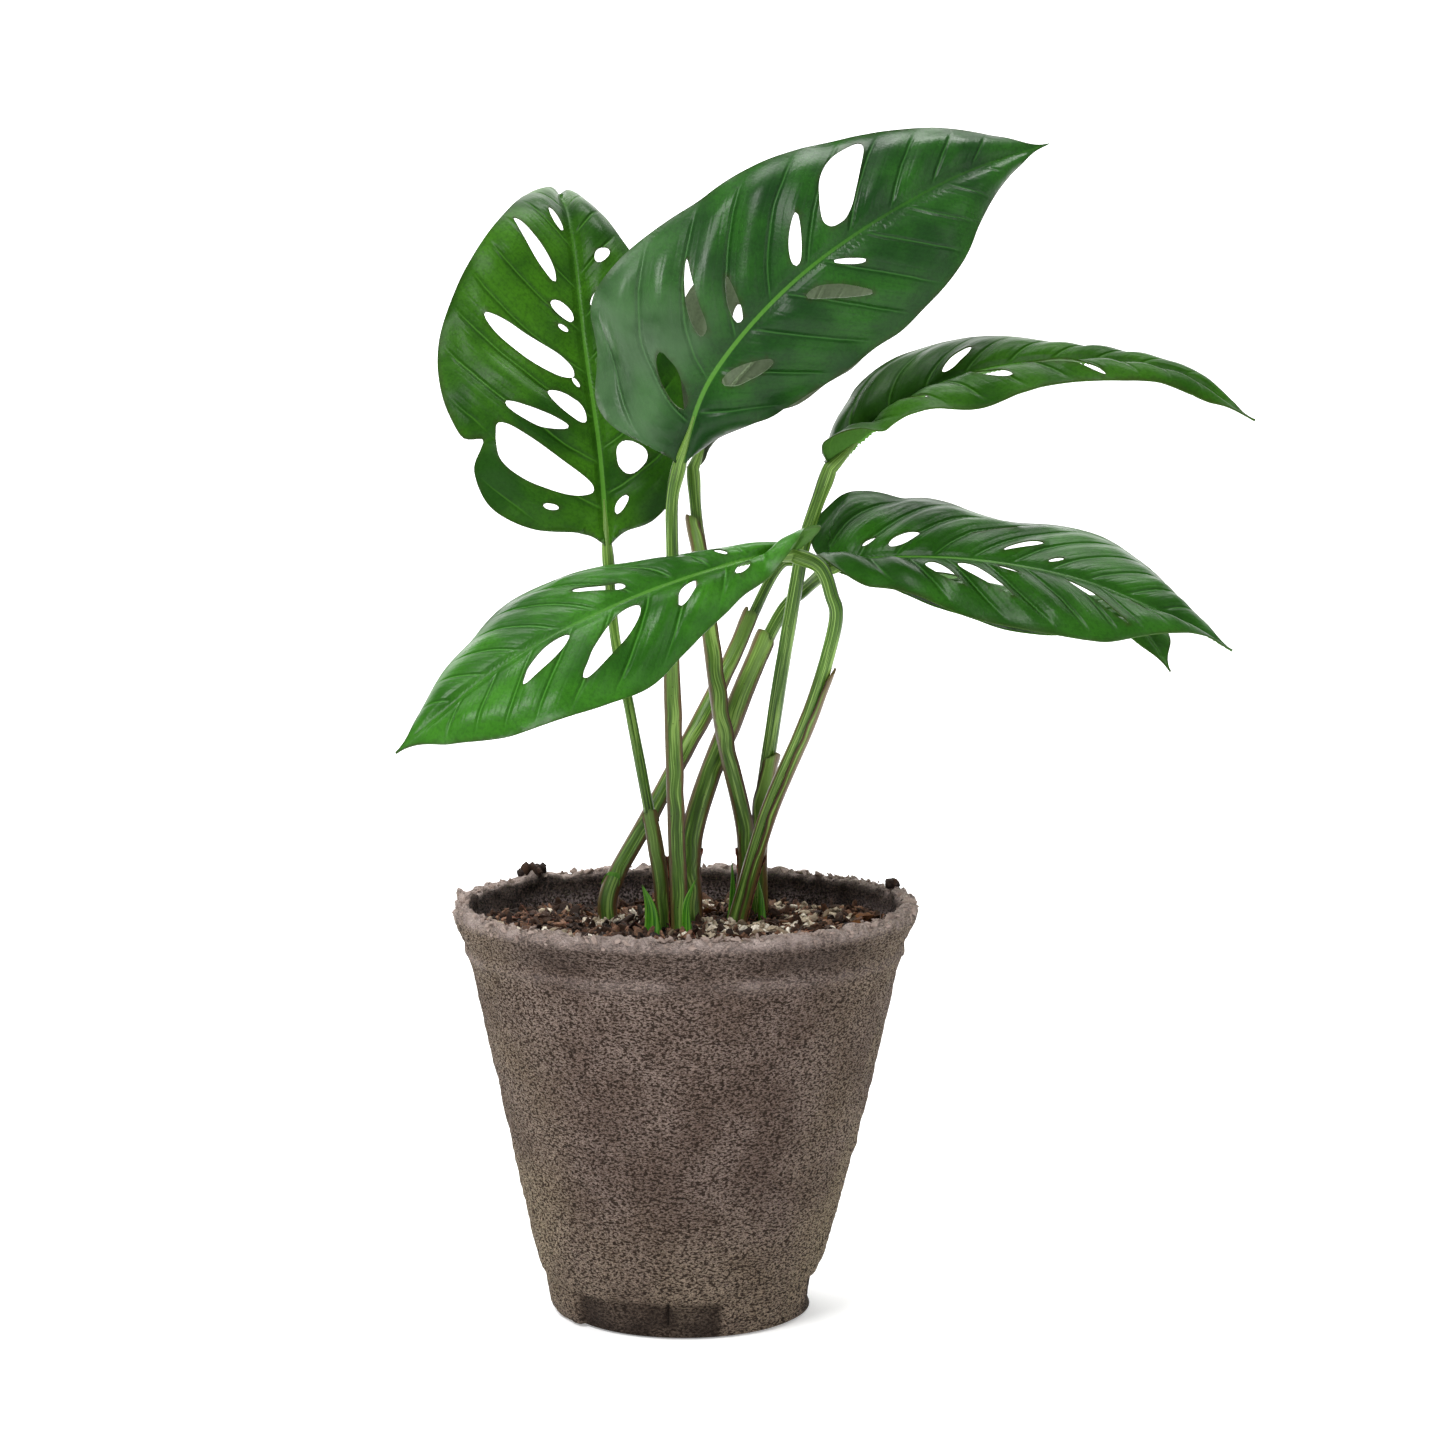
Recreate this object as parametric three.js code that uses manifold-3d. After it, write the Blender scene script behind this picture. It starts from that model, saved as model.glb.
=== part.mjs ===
// A young monstera with holed leaves, growing in a moulded fibre nursery pot.
// Millimetres, +Z up, the front faces -Y. The origin is the centre of the pot's underside.
import * as THREE from 'three';
import { mergeVertices } from 'three/addons/utils/BufferGeometryUtils.js';
import Module from 'manifold-3d';

const wasm = await Module();
wasm.setup();

// ---------------------------------------------------------------- driving dimensions

const pot = {
  height: 107,
  rimRadius: 60,
  rimWidth: 4.5,
  collarHeight: 14,
  collarTaper: 2.4,
  collarSlope: 8,
  edgeRounding: 1.5,
  collarOverhang: 4,
  stepRadius: 36.7,
  footInset: 2.5,
  footHeight: 12,
  footRounding: 6,
  footChamfer: 1.8,
  wall: 3,
  floor: 4,
  recessHeight: 9.5,
  recessDepth: 1.4,
  recessHalfAngle: 36,
  recesses: 3,
  firstRecess: 253,
  sides: 40,
};

const soil = {
  belowRim: 7,
};

const fit = {
  clearance: 0.3,
  soilGap: 0.45,
  rootDepth: 5,
};

const petiole = {
  sheathWall: 0.6,
  sides: 8,
  stepLength: 9,
  searchSteps: 200,
  curveTension: 0.5,
};

const blade = {
  thickness: 0.8,
  gridStep: 8,
  bulge: 2,
  creaseWidth: 2,
  outlinePoints: 18,
  holePoints: 10,
  sheetMargin: 2,
  lobesBehind: 10,
  cutterDepth: 3.2,
};

const soilTop = pot.height - soil.belowRim;
const shoulderRadius = pot.rimRadius - pot.collarOverhang;
const footRadius = pot.stepRadius - pot.footInset;

// ---------------------------------------------------------------- the leaves
// Every place is measured from the middle of the soil surface.
// path     the leaf stalk's centre line, from its foot in the soil to the blade
// radius   the bare stalk's radius
// sheath   the height where the stalk's wider sheath ends
// midrib   the blade's centre line, which starts where the stalk ends
// left, right   the half outline as [distance along the midrib, distance from it]
// leftRise, rightRise   each half's slope across the midrib in degrees, at the stations below
// holes    [side (1 left, -1 right), distance along, nearest to the midrib, farthest from it,
//          width, forward lean]

const riseStations = [0, 0.15, 0.4, 0.7, 1];

const leaves = [
  {
    name: 'back_left',
    path: [[-5, -3, 0], [-7, -2, 18], [-14, 4, 55], [-18, 8, 74], [-20, 10, 97]],
    radius: 1.4,
    sheath: 30,
    midrib: [[-20, 10, 97], [-22, 16, 121], [-26, 25, 148], [-30, 39, 178], [-33, 54, 187], [-36, 80, 190]],
    left: [
      [4, 6], [6, 19], [12, 29], [22, 33], [29, 30], [33, 36], [44, 39], [61, 37], [80, 27], [98, 13], [118, 4],
    ],
    right: [[4, 5], [7, 13], [15, 20], [25, 23], [45, 24], [68, 20], [93, 10], [114, 4]],
    leftRise: [-9, -10, -12, 5, 14],
    rightRise: [8, 12, 12, 0, -10],
    holes: [
      [1, 90, 2.5, 6, 4.5, 1.5],
      [1, 81, 6, 16, 7, 1.6],
      [-1, 79, 4.8, 9, 4, 0.4],
      [-1, 67, 2.5, 6, 3.5, 1],
      [1, 64, 2.2, 8, 4.2, 0.7],
      [1, 54, 4, 25.5, 8, 0.8],
      [1, 38, 2.5, 12, 6, 0.7],
      [1, 35, 8, 23.5, 4.2, 0.5],
      [-1, 23, 4, 12, 8, 0],
      [1, 21, 2.5, 27, 11, 0.6],
      [-1, 11, 2.5, 6.2, 3.4, 0.9],
    ],
  },
  {
    name: 'top_front',
    path: [[-1, -8, 0], [-2, -5, 30], [-3, -3, 67], [-3, -5, 95], [-3, -9, 110], [-1, -12, 120]],
    radius: 1.7,
    sheath: 78,
    midrib: [[-1, -12, 120], [8, -20, 143], [31, -22, 168], [64, -12, 189], [93, 6, 200]],
    left: [[1, 7], [2, 18], [10, 28], [25, 35], [50, 33], [78, 27], [106, 15], [123, 6]],
    right: [[3, 3], [9, 7], [16, 14.5], [26, 21.5], [50, 27], [70, 27], [90, 22], [106, 13], [122, 4]],
    leftRise: [125, 100, 70, 56, 57],
    rightRise: [-155, -125, -99, -77, -76],
    holes: [
      [1, 18.5, 2.2, 14, 7, 0.6],
      [-1, 30.5, 2.2, 9, 5, 1.3],
      [1, 36, 7, 22, 4.8, 0.6],
      [1, 42, 2.2, 12, 3, 0.5],
      [1, 62, 2.2, 12.5, 3.4, 0.7],
      [-1, 63, 4, 14, 5.5, 1.3],
      [1, 79.5, 4.2, 20, 14, 1.1],
    ],
  },
  {
    name: 'right_upper',
    path: [[19, 24, 0], [19, 20, 21], [23, 13, 52], [28, 8, 84], [31, 5, 100], [37, 0, 118]],
    radius: 1.9,
    sheath: 44,
    midrib: [[37, 0, 118], [48, 3, 128], [67, 1, 140], [93, -5, 145], [121, -13, 142], [141, -26, 131]],
    left: [[4, 7], [12, 16], [22, 24], [33, 24.5], [50, 16.5], [66, 12.5], [82, 10], [100, 5.5]],
    right: [[1, 8], [5, 10.5], [18, 16], [40, 19.5], [58, 18], [75, 15], [92, 10], [106, 7]],
    leftRise: [0, 30, 26, 10, 8],
    rightRise: [60, -8, -26, -15, -5],
    holes: [
      [-1, 29, 7.5, 14, 4, 1],
      [1, 41, 2.5, 10, 6.2, 0.9],
      [-1, 51, 3, 10.5, 4.6, 1.3],
      [-1, 75, 2.5, 10.5, 3.4, 2],
    ],
  },
  {
    name: 'right_lower',
    path: [[2, 6, 0], [2, 9, 23], [12, 18, 51], [24, 17, 78], [31, 14, 86], [37, 6, 92]],
    radius: 1.8,
    sheath: 74,
    midrib: [[37, 6, 92], [50, 0, 95], [74, -6, 95], [101, -10, 90], [127, -14, 79], [138, -16, 73]],
    left: [[-3, 8], [-1, 17], [6, 25], [18, 29], [38, 28.5], [56, 28], [73, 24], [88, 15], [99, 6]],
    right: [[1, 9], [8, 15], [22, 18], [44, 22], [62, 24], [78, 21], [90, 12], [100, 4]],
    leftRise: [50, 30, 18, 23, 19],
    rightRise: [22, -22, -36, -32, 0],
    holes: [
      [1, 20, 3, 9, 4.4, 1],
      [-1, 33, 7, 14.5, 5.4, 1.2],
      [1, 42, 10, 17, 2.5, 1.6],
      [-1, 43, 4, 15.5, 4.6, 1.3],
      [-1, 48, 2.5, 6, 2.4, 1.6],
      [1, 50, 4, 11.5, 5.2, 1.3],
      [-1, 72, 3, 14, 3.5, 1.7],
    ],
  },
  {
    name: 'back_middle',
    path: [[15, 12, 0], [16, 10, 22], [10, 9, 52], [5, 14, 91], [3, 19, 104], [2, 22, 117]],
    radius: 1.6,
    sheath: 104,
    midrib: [[2, 22, 117], [10, 31, 135], [27, 38, 152], [48, 47, 161], [58, 52, 163]],
    left: [[8, 2.6], [16, 7], [28, 16], [42, 19], [57, 18], [69, 12], [77, 5]],
    right: [[8, 2.6], [14, 8], [21, 14], [31, 23], [41, 26], [53, 18], [66, 9], [76, 4]],
    leftRise: [-178, -165, -132, -130, -130],
    rightRise: [165, 150, 116, 112, 118],
    holes: [
      [1, 30, 3, 12, 3.5, 0.8],
      [-1, 38, 4, 15, 4, 0.8],
      [1, 50, 3, 11, 3.2, 0.9],
    ],
  },
  {
    name: 'left_lower',
    path: [
      [13, 4, 0], [21, 0, 29], [32, -8, 57], [38, -13, 79], [37, -14, 87], [34, -14, 94], [27, -14, 97],
    ],
    radius: 1.9,
    sheath: 68,
    midrib: [[27, -14, 97], [12, -23, 95], [-14, -34, 87], [-42, -43, 73], [-70, -50, 51]],
    left: [[-3, 5], [-4, 11], [3, 11], [12, 9], [31, 15], [52, 23], [74, 24], [90, 19], [102, 11]],
    right: [[1, 4], [8, 6], [20, 9], [38, 16], [55, 22], [70, 23], [88, 15], [103, 7]],
    leftRise: [40, -35, -60, -42, -32],
    rightRise: [45, 20, 22, 23, 25],
    holes: [
      [1, 33, 2.4, 8, 4.8, 1],
      [-1, 51, 3, 9.5, 6.2, 1.6],
      [1, 56.5, 2.5, 16.5, 9.4, 1.4],
      [1, 73, 2, 10.4, 8.8, 1.7],
    ],
  },
  {
    name: 'right_back',
    path: [[-20, 8, 0], [-19, 10, 9], [-8, 21, 28], [10, 33, 61], [23, 37, 88], [29, 37, 92], [36, 36, 91]],
    radius: 1.5,
    sheath: 78,
    midrib: [[36, 36, 91], [58, 36, 86], [84, 33, 80], [110, 26, 78], [120, 20, 74], [126, 12, 65]],
    left: [[-2, 8], [0, 16], [10, 23], [24, 28], [40, 29], [56, 26], [72, 19], [86, 10], [96, 4]],
    right: [[-2, 8], [0, 16], [10, 23], [24, 28], [40, 29], [56, 26], [72, 19], [86, 10], [96, 4]],
    leftRise: [0, 0, 2, 6, 0],
    rightRise: [0, -1, -1, -10, 0],
    holes: [
      [1, 30, 4, 16, 4.5, 0.8],
      [-1, 34, 4, 15, 4.2, 0.8],
      [1, 55, 4, 14, 4, 0.9],
      [-1, 58, 4, 13, 4, 0.9],
    ],
  },
];

// New shoots: foot in the soil, tip, and radius at the foot.
// A shoot keeps that radius for its lower half and then narrows to the given share of it.
const shootTip = { share: 0.15, steps: 6 };

const shoots = [
  { name: 'new_leaf_spear', foot: [-7.9, -13.2], tip: [-10.5, -13.2, 12.5], radius: 2.1 },
  { name: 'side_shoot_middle', foot: [0.7, -12.4], tip: [3, -12.2, 14], radius: 1.3 },
  { name: 'side_shoot_right', foot: [12.1, 8.4], tip: [12.1, 7.6, 16], radius: 1.2 },
  { name: 'sheath_stub_right', foot: [20, 8.5], tip: [19, 9, 11], radius: 1.3 },
];

// ---------------------------------------------------------------- materials

function makeMaterial(name, color, roughness) {
  return new THREE.MeshStandardMaterial({ name, color, roughness, metalness: 0 });
}

const materials = {
  fibre: () => makeMaterial('pot_fibre', 0x85756b, 0.95),
  soil: () => makeMaterial('potting_mix', 0x3b2a20, 1),
  blade: () => makeMaterial('leaf_blade', 0x23561d, 0.35),
  petiole: () => makeMaterial('leaf_stalk', 0x4f7a32, 0.5),
  shoot: () => makeMaterial('new_growth', 0x6fa03c, 0.5),
  bark: () => makeMaterial('bark', 0x4a2f22, 0.9),
  perlite: () => makeMaterial('perlite', 0xd8cfc4, 0.85),
};

// ---------------------------------------------------------------- solids and meshes

function solidFrom(geometry) {
  const plain = geometry.clone();
  plain.deleteAttribute('normal');
  plain.deleteAttribute('uv');
  const merged = mergeVertices(plain, 1e-4);
  const vertProperties = Float32Array.from(merged.attributes.position.array);
  const triVerts = Uint32Array.from(merged.index.array);
  return new wasm.Manifold(new wasm.Mesh({ numProp: 3, vertProperties, triVerts }));
}

function geometryFrom(solid) {
  const mesh = solid.getMesh();
  const geometry = new THREE.BufferGeometry();
  geometry.setAttribute('position', new THREE.BufferAttribute(Float32Array.from(mesh.vertProperties), 3));
  geometry.setIndex(Array.from(mesh.triVerts));
  geometry.computeVertexNormals();
  return geometry;
}

function makeMesh(name, geometry, material) {
  const mesh = new THREE.Mesh(geometry, material);
  mesh.name = name;
  return mesh;
}

function toVectors(points) {
  return points.map((point) => new THREE.Vector3(...point));
}

// ---------------------------------------------------------------- pot

const collarBottom = pot.height - pot.collarHeight;
const outerSlope = (shoulderRadius - pot.stepRadius) / (collarBottom - pot.footHeight);

function bodyRadiusAt(z) {
  return pot.stepRadius + outerSlope * (z - pot.footHeight);
}

// The inside follows the outer cone, one wall thickness in, above the foot.
function innerRadiusAt(z) {
  const cone = bodyRadiusAt(z) - pot.wall;
  return z < pot.footHeight ? Math.min(cone, footRadius - pot.wall) : cone;
}

const rimInnerRadius = pot.rimRadius - pot.rimWidth;

function makePotProfile() {
  return [
    [0, 0],
    [footRadius - pot.footRounding, 0],
    [footRadius - pot.footChamfer, pot.footChamfer],
    [footRadius, pot.footRounding],
    [footRadius, pot.footHeight - pot.edgeRounding],
    [pot.stepRadius, pot.footHeight],
    [shoulderRadius, collarBottom],
    [pot.rimRadius - pot.collarTaper, collarBottom + pot.edgeRounding * 2],
    [pot.rimRadius, collarBottom + pot.collarSlope],
    [pot.rimRadius, pot.height - pot.edgeRounding],
    [pot.rimRadius - pot.edgeRounding, pot.height],
    [rimInnerRadius + pot.edgeRounding, pot.height],
    [rimInnerRadius, pot.height - pot.edgeRounding],
    [innerRadiusAt(collarBottom), collarBottom],
    [innerRadiusAt(pot.floor), pot.floor],
    [0, pot.floor],
  ].map(([r, z]) => new THREE.Vector2(r, z));
}

function standUp(geometry) {
  return geometry.rotateX(Math.PI / 2);
}

// A shallow curved panel cut into the foot, centred on the given direction.
function makeFootRecess(direction) {
  const half = THREE.MathUtils.degToRad(pot.recessHalfAngle);
  const inner = footRadius - pot.recessDepth;
  const outer = footRadius + pot.wall;
  const shape = new THREE.Shape();
  shape.absarc(0, 0, outer, direction - half, direction + half, false);
  shape.absarc(0, 0, inner, direction + half, direction - half, true);
  const margin = 1;
  const geometry = new THREE.ExtrudeGeometry(shape, {
    depth: pot.recessHeight + margin,
    bevelEnabled: false,
    curveSegments: 8,
  });
  return geometry.translate(0, 0, -margin);
}

function makePot() {
  let body = solidFrom(standUp(new THREE.LatheGeometry(makePotProfile(), pot.sides)));
  const first = THREE.MathUtils.degToRad(pot.firstRecess);
  for (let index = 0; index < pot.recesses; index += 1) {
    const direction = first + index * 2 * Math.PI / pot.recesses;
    body = body.subtract(solidFrom(makeFootRecess(direction)));
  }
  return makeMesh('pot', geometryFrom(body), materials.fibre());
}

// ---------------------------------------------------------------- soil

// Where the rim's inner face slopes inwards, the soil follows it.
function potInsideAt(z) {
  if (z <= collarBottom) {
    return innerRadiusAt(z);
  }
  const lip = pot.height - pot.edgeRounding;
  const share = (z - collarBottom) / (lip - collarBottom);
  return THREE.MathUtils.lerp(innerRadiusAt(collarBottom), rimInnerRadius, share);
}

function makeSoilBody() {
  const bottom = pot.floor + fit.clearance;
  const levels = [bottom, Math.min(collarBottom, soilTop - 1), soilTop];
  const profile = [new THREE.Vector2(0, bottom)];
  for (const z of levels) {
    profile.push(new THREE.Vector2(potInsideAt(z) - fit.soilGap, z));
  }
  profile.push(new THREE.Vector2(0, soilTop));
  return solidFrom(standUp(new THREE.LatheGeometry(profile, pot.sides)));
}

// ---------------------------------------------------------------- stalks

function roundSection(radius) {
  const shape = new THREE.Shape();
  for (let i = 0; i < petiole.sides; i += 1) {
    const angle = (i / petiole.sides) * Math.PI * 2;
    const point = [radius * Math.cos(angle), radius * Math.sin(angle)];
    if (i === 0) {
      shape.moveTo(...point);
    } else {
      shape.lineTo(...point);
    }
  }
  shape.closePath();
  return shape;
}

function makeTube(points, radius) {
  const curve = new THREE.CatmullRomCurve3(points, false, 'catmullrom', petiole.curveTension);
  const steps = Math.max(2, Math.round(curve.getLength() / petiole.stepLength));
  return solidFrom(new THREE.ExtrudeGeometry(roundSection(radius), {
    steps,
    bevelEnabled: false,
    extrudePath: curve,
  }));
}

// The stalk's centre line, carried down into the soil.
function rootedPath(leaf) {
  const points = toVectors(leaf.path);
  const foot = points[0].clone();
  foot.z = -fit.rootDepth;
  return [foot, ...points];
}

function sheathPath(leaf) {
  const lower = rootedPath(leaf).filter((point) => point.z < leaf.sheath);
  const curve = new THREE.CatmullRomCurve3(rootedPath(leaf), false, 'catmullrom', petiole.curveTension);
  const samples = curve.getSpacedPoints(petiole.searchSteps);
  const end = samples.find((point) => point.z >= leaf.sheath);
  const last = lower[lower.length - 1];
  if (last.distanceTo(end) < petiole.stepLength) {
    lower.pop();
  }
  return [...lower, end];
}

function makeStalk(leaf, extra) {
  const thin = makeTube(rootedPath(leaf), leaf.radius + extra);
  return thin.add(makeTube(sheathPath(leaf), leaf.radius + petiole.sheathWall + extra));
}

// A pocket cutter for the soil and the blade: the stalk grown by the clearance on every side.
function makeStalkClearance(leaf) {
  const grown = rootedPath(leaf);
  const last = grown[grown.length - 1];
  const before = grown[grown.length - 2];
  const ahead = last.clone().sub(before).setLength(fit.clearance);
  grown[grown.length - 1] = last.clone().add(ahead);
  grown[0].z -= fit.clearance;
  const grow = fit.clearance / Math.cos(Math.PI / petiole.sides);
  const thin = makeTube(grown, leaf.radius + grow);
  const wide = sheathPath(leaf);
  wide[0].z -= fit.clearance;
  return thin.add(makeTube(wide, leaf.radius + petiole.sheathWall + grow));
}

// ---------------------------------------------------------------- blades

function midribCurve(leaf) {
  return new THREE.CatmullRomCurve3(toVectors(leaf.midrib), false, 'catmullrom', petiole.curveTension);
}

// The outline of one half, from the base to the tip, as a smooth curve. The left side is positive.
function halfOutline(points, side, length) {
  const route = [[0, 0], ...points, [length, 0]];
  const curve = new THREE.SplineCurve(route.map(([s, w]) => new THREE.Vector2(s, side * w)));
  return curve.getPoints(blade.outlinePoints);
}

function makeOutlineShape(leaf, length) {
  const right = halfOutline(leaf.right, -1, length);
  const left = halfOutline(leaf.left, 1, length);
  left.reverse();
  return new THREE.Shape([...right.slice(0, -1), ...left.slice(0, -1)]);
}

// A hole between two side veins: pointed at the midrib end, rounded at the margin end.
function makeHoleShape([side, along, near, far, width, lean]) {
  const middle = (near + far) / 2;
  const half = (far - near) / 2;
  const outline = [];
  for (let i = 0; i < blade.holePoints; i += 1) {
    const angle = (i / blade.holePoints) * Math.PI * 2;
    const reach = Math.cos(angle);
    const swell = Math.sin(angle) * (0.8 + 0.2 * reach);
    const v = middle + half * reach;
    const s = along + lean * (v - middle) + (width / 2) * swell;
    outline.push(new THREE.Vector2(s, side * v));
  }
  return new THREE.Shape(outline);
}

function makePrism(shape) {
  const depth = blade.cutterDepth;
  const geometry = new THREE.ExtrudeGeometry(shape, { depth, bevelEnabled: false });
  return solidFrom(geometry.translate(0, 0, -depth / 2));
}

function makeFlatBlade(leaf, length) {
  const widest = Math.max(...leaf.left.map((p) => p[1]), ...leaf.right.map((p) => p[1]));
  const sheetLength = length + blade.lobesBehind + blade.sheetMargin;
  const sheetWidth = 2 * (widest + blade.sheetMargin);
  const across = 2 * Math.ceil(sheetWidth / 2 / blade.gridStep);
  const along = Math.ceil(sheetLength / blade.gridStep);
  const sheet = new THREE.BoxGeometry(sheetLength, sheetWidth, blade.thickness, along, across, 1);
  sheet.translate(sheetLength / 2 - blade.lobesBehind, 0, 0);
  let flat = solidFrom(sheet).intersect(makePrism(makeOutlineShape(leaf, length)));
  for (const hole of leaf.holes) {
    flat = flat.subtract(makePrism(makeHoleShape(hole)));
  }
  return flat;
}

function riseAt(stations, share) {
  const clamped = THREE.MathUtils.clamp(share, 0, 1);
  let i = 0;
  while (i < riseStations.length - 2 && clamped > riseStations[i + 1]) {
    i += 1;
  }
  const local = (clamped - riseStations[i]) / (riseStations[i + 1] - riseStations[i]);
  const eased = local * local * (3 - 2 * local);
  return THREE.MathUtils.degToRad(THREE.MathUtils.lerp(stations[i], stations[i + 1], eased));
}

// The half width at a distance along the midrib, for the blade's gentle swell.
function halfWidthAt(points, s, length) {
  const route = [[0, 0.1], ...points, [length, 0.1]];
  for (let i = 0; i < route.length - 1; i += 1) {
    const [s0, w0] = route[i];
    const [s1, w1] = route[i + 1];
    if (s >= s0 && s <= s1 && s1 > s0) {
      return Math.max(2, w0 + (w1 - w0) * (s - s0) / (s1 - s0));
    }
  }
  return 2;
}

function makeBender(leaf) {
  const curve = midribCurve(leaf);
  const length = curve.getLength();
  const vertical = new THREE.Vector3(0, 0, 1);
  return (s, v, w) => {
    const share = THREE.MathUtils.clamp(s / length, 0, 1);
    const tangent = curve.getTangentAt(share);
    const beyond = s - share * length;
    const middle = curve.getPointAt(share).addScaledVector(tangent, beyond);
    const level = new THREE.Vector3().crossVectors(tangent, vertical).normalize();
    const up = new THREE.Vector3().crossVectors(level, tangent);
    const leftAngle = riseAt(leaf.leftRise, share);
    const rightAngle = riseAt(leaf.rightRise, share);
    const toLeft = level.clone().multiplyScalar(-Math.cos(leftAngle));
    toLeft.addScaledVector(up, Math.sin(leftAngle));
    const toRight = level.clone().multiplyScalar(Math.cos(rightAngle));
    toRight.addScaledVector(up, Math.sin(rightAngle));
    const leftFace = new THREE.Vector3().crossVectors(tangent, toLeft);
    const rightFace = new THREE.Vector3().crossVectors(toRight, tangent);
    const mix = THREE.MathUtils.smoothstep(v, -blade.creaseWidth, blade.creaseWidth);
    const face = rightFace.lerp(leftFace, mix).normalize();
    const width = halfWidthAt(v > 0 ? leaf.left : leaf.right, s, length);
    const reach = Math.min(1, Math.abs(v) / width);
    const swell = blade.bulge * 4 * reach * (1 - reach);
    middle.addScaledVector(v > 0 ? toLeft : toRight, Math.abs(v));
    return middle.addScaledVector(face, swell + w);
  };
}

function makeBlade(leaf) {
  const length = midribCurve(leaf).getLength();
  const geometry = geometryFrom(makeFlatBlade(leaf, length));
  const bend = makeBender(leaf);
  const position = geometry.attributes.position;
  for (let i = 0; i < position.count; i += 1) {
    const point = bend(position.getX(i), position.getY(i), position.getZ(i));
    position.setXYZ(i, point.x, point.y, point.z);
  }
  const bent = solidFrom(geometry).subtract(makeStalkClearance(leaf));
  return makeMesh(`leaf_${leaf.name}`, geometryFrom(bent), materials.blade());
}

// ---------------------------------------------------------------- shoots

function shootPoints(shoot) {
  const foot = new THREE.Vector3(shoot.foot[0], shoot.foot[1], -fit.rootDepth);
  const ground = new THREE.Vector3(shoot.foot[0], shoot.foot[1], 0);
  return [foot, ground, new THREE.Vector3(...shoot.tip)];
}

// A spear that narrows to its tip: each ring of the tube is drawn in towards the centre line.
function makeShoot(shoot, extra) {
  const curve = new THREE.CatmullRomCurve3(shootPoints(shoot), false, 'catmullrom', petiole.curveTension);
  const { steps, share } = shootTip;
  const geometry = new THREE.ExtrudeGeometry(roundSection(1), {
    steps,
    bevelEnabled: false,
    extrudePath: curve,
  });
  const position = geometry.attributes.position;
  for (let i = 0; i < position.count; i += 1) {
    const point = new THREE.Vector3().fromBufferAttribute(position, i);
    let nearest = 0;
    let gap = Infinity;
    for (let k = 0; k <= steps; k += 1) {
      const distance = curve.getPointAt(k / steps).distanceTo(point);
      if (distance < gap) {
        gap = distance;
        nearest = k / steps;
      }
    }
    const centre = curve.getPointAt(nearest);
    const radius = shoot.radius * THREE.MathUtils.lerp(1, share, Math.max(0, nearest - 0.5) * 2) + extra;
    point.sub(centre).multiplyScalar(radius).add(centre);
    position.setXYZ(i, point.x, point.y, point.z);
  }
  return solidFrom(geometry);
}

function makeShootClearance(shoot) {
  const grow = fit.clearance / Math.cos(Math.PI / petiole.sides);
  const grown = makeShoot(shoot, grow);
  return grown.add(grown.translate([0, 0, -fit.clearance]));
}

// ---------------------------------------------------------------- bark and perlite on the soil

const soilSurfaceRadius = potInsideAt(soilTop) - fit.soilGap;

// They lie in the ring between the stalks and the wall, every other one a grain of perlite.
// Half sizes; a chip lies with its length around the ring.
const toppings = {
  count: 22,
  stalksWithin: 33,
  barkSize: [5, 3.2, 1.1],
  perliteSize: [2, 1.7, 1.2],
  smallest: 0.85,
  largest: 1.15,
  edgeMargin: 0.5,
};

function seatOnSoil(geometry, x, y) {
  geometry.translate(x, y, 0);
  geometry.computeBoundingBox();
  return geometry.translate(0, 0, fit.clearance - geometry.boundingBox.min.z);
}

function makeTopping(index, x, y) {
  const number = String(index + 1).padStart(2, '0');
  const around = Math.atan2(y, x) + Math.PI / 2;
  const spread = Math.abs(Math.sin(index * 1.7));
  const growth = THREE.MathUtils.lerp(toppings.smallest, toppings.largest, spread);
  const isBark = index % 2 === 0;
  const size = isBark ? toppings.barkSize : toppings.perliteSize;
  const piece = isBark ? new THREE.DodecahedronGeometry(1, 0) : new THREE.IcosahedronGeometry(1, 0);
  piece.scale(...size.map((half) => half * growth));
  piece.rotateZ(around);
  const name = isBark ? `bark_chip_${number}` : `perlite_${number}`;
  return makeMesh(name, seatOnSoil(piece, x, y), isBark ? materials.bark() : materials.perlite());
}

function makeToppings() {
  const margin = toppings.barkSize[1] * toppings.largest + toppings.edgeMargin;
  const nearest = toppings.stalksWithin + margin;
  const farthest = soilSurfaceRadius - margin;
  const scatter = 0.618;
  const pieces = [];
  for (let i = 0; i < toppings.count; i += 1) {
    const angle = (i / toppings.count) * Math.PI * 2;
    const radius = THREE.MathUtils.lerp(nearest, farthest, (i * scatter) % 1);
    pieces.push(makeTopping(i, radius * Math.cos(angle), radius * Math.sin(angle)));
  }
  return pieces;
}

// ---------------------------------------------------------------- assembly

function makeSoil() {
  let body = makeSoilBody();
  const cutters = [...leaves.map(makeStalkClearance), ...shoots.map(makeShootClearance)];
  for (const cutter of cutters) {
    body = body.subtract(cutter.translate([0, 0, soilTop]));
  }
  return makeMesh('soil', geometryFrom(body), materials.soil());
}

const plant = new THREE.Group();
plant.position.z = soilTop;
for (const leaf of leaves) {
  plant.add(makeMesh(`stalk_${leaf.name}`, geometryFrom(makeStalk(leaf, 0)), materials.petiole()));
  plant.add(makeBlade(leaf));
}
for (const shoot of shoots) {
  plant.add(makeMesh(shoot.name, geometryFrom(makeShoot(shoot, 0)), materials.shoot()));
}
for (const piece of makeToppings()) {
  plant.add(piece);
}

const pottedMonstera = new THREE.Group();
pottedMonstera.name = 'potted_monstera';
pottedMonstera.add(makePot());
pottedMonstera.add(makeSoil());
pottedMonstera.add(plant);

export default pottedMonstera;
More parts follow.
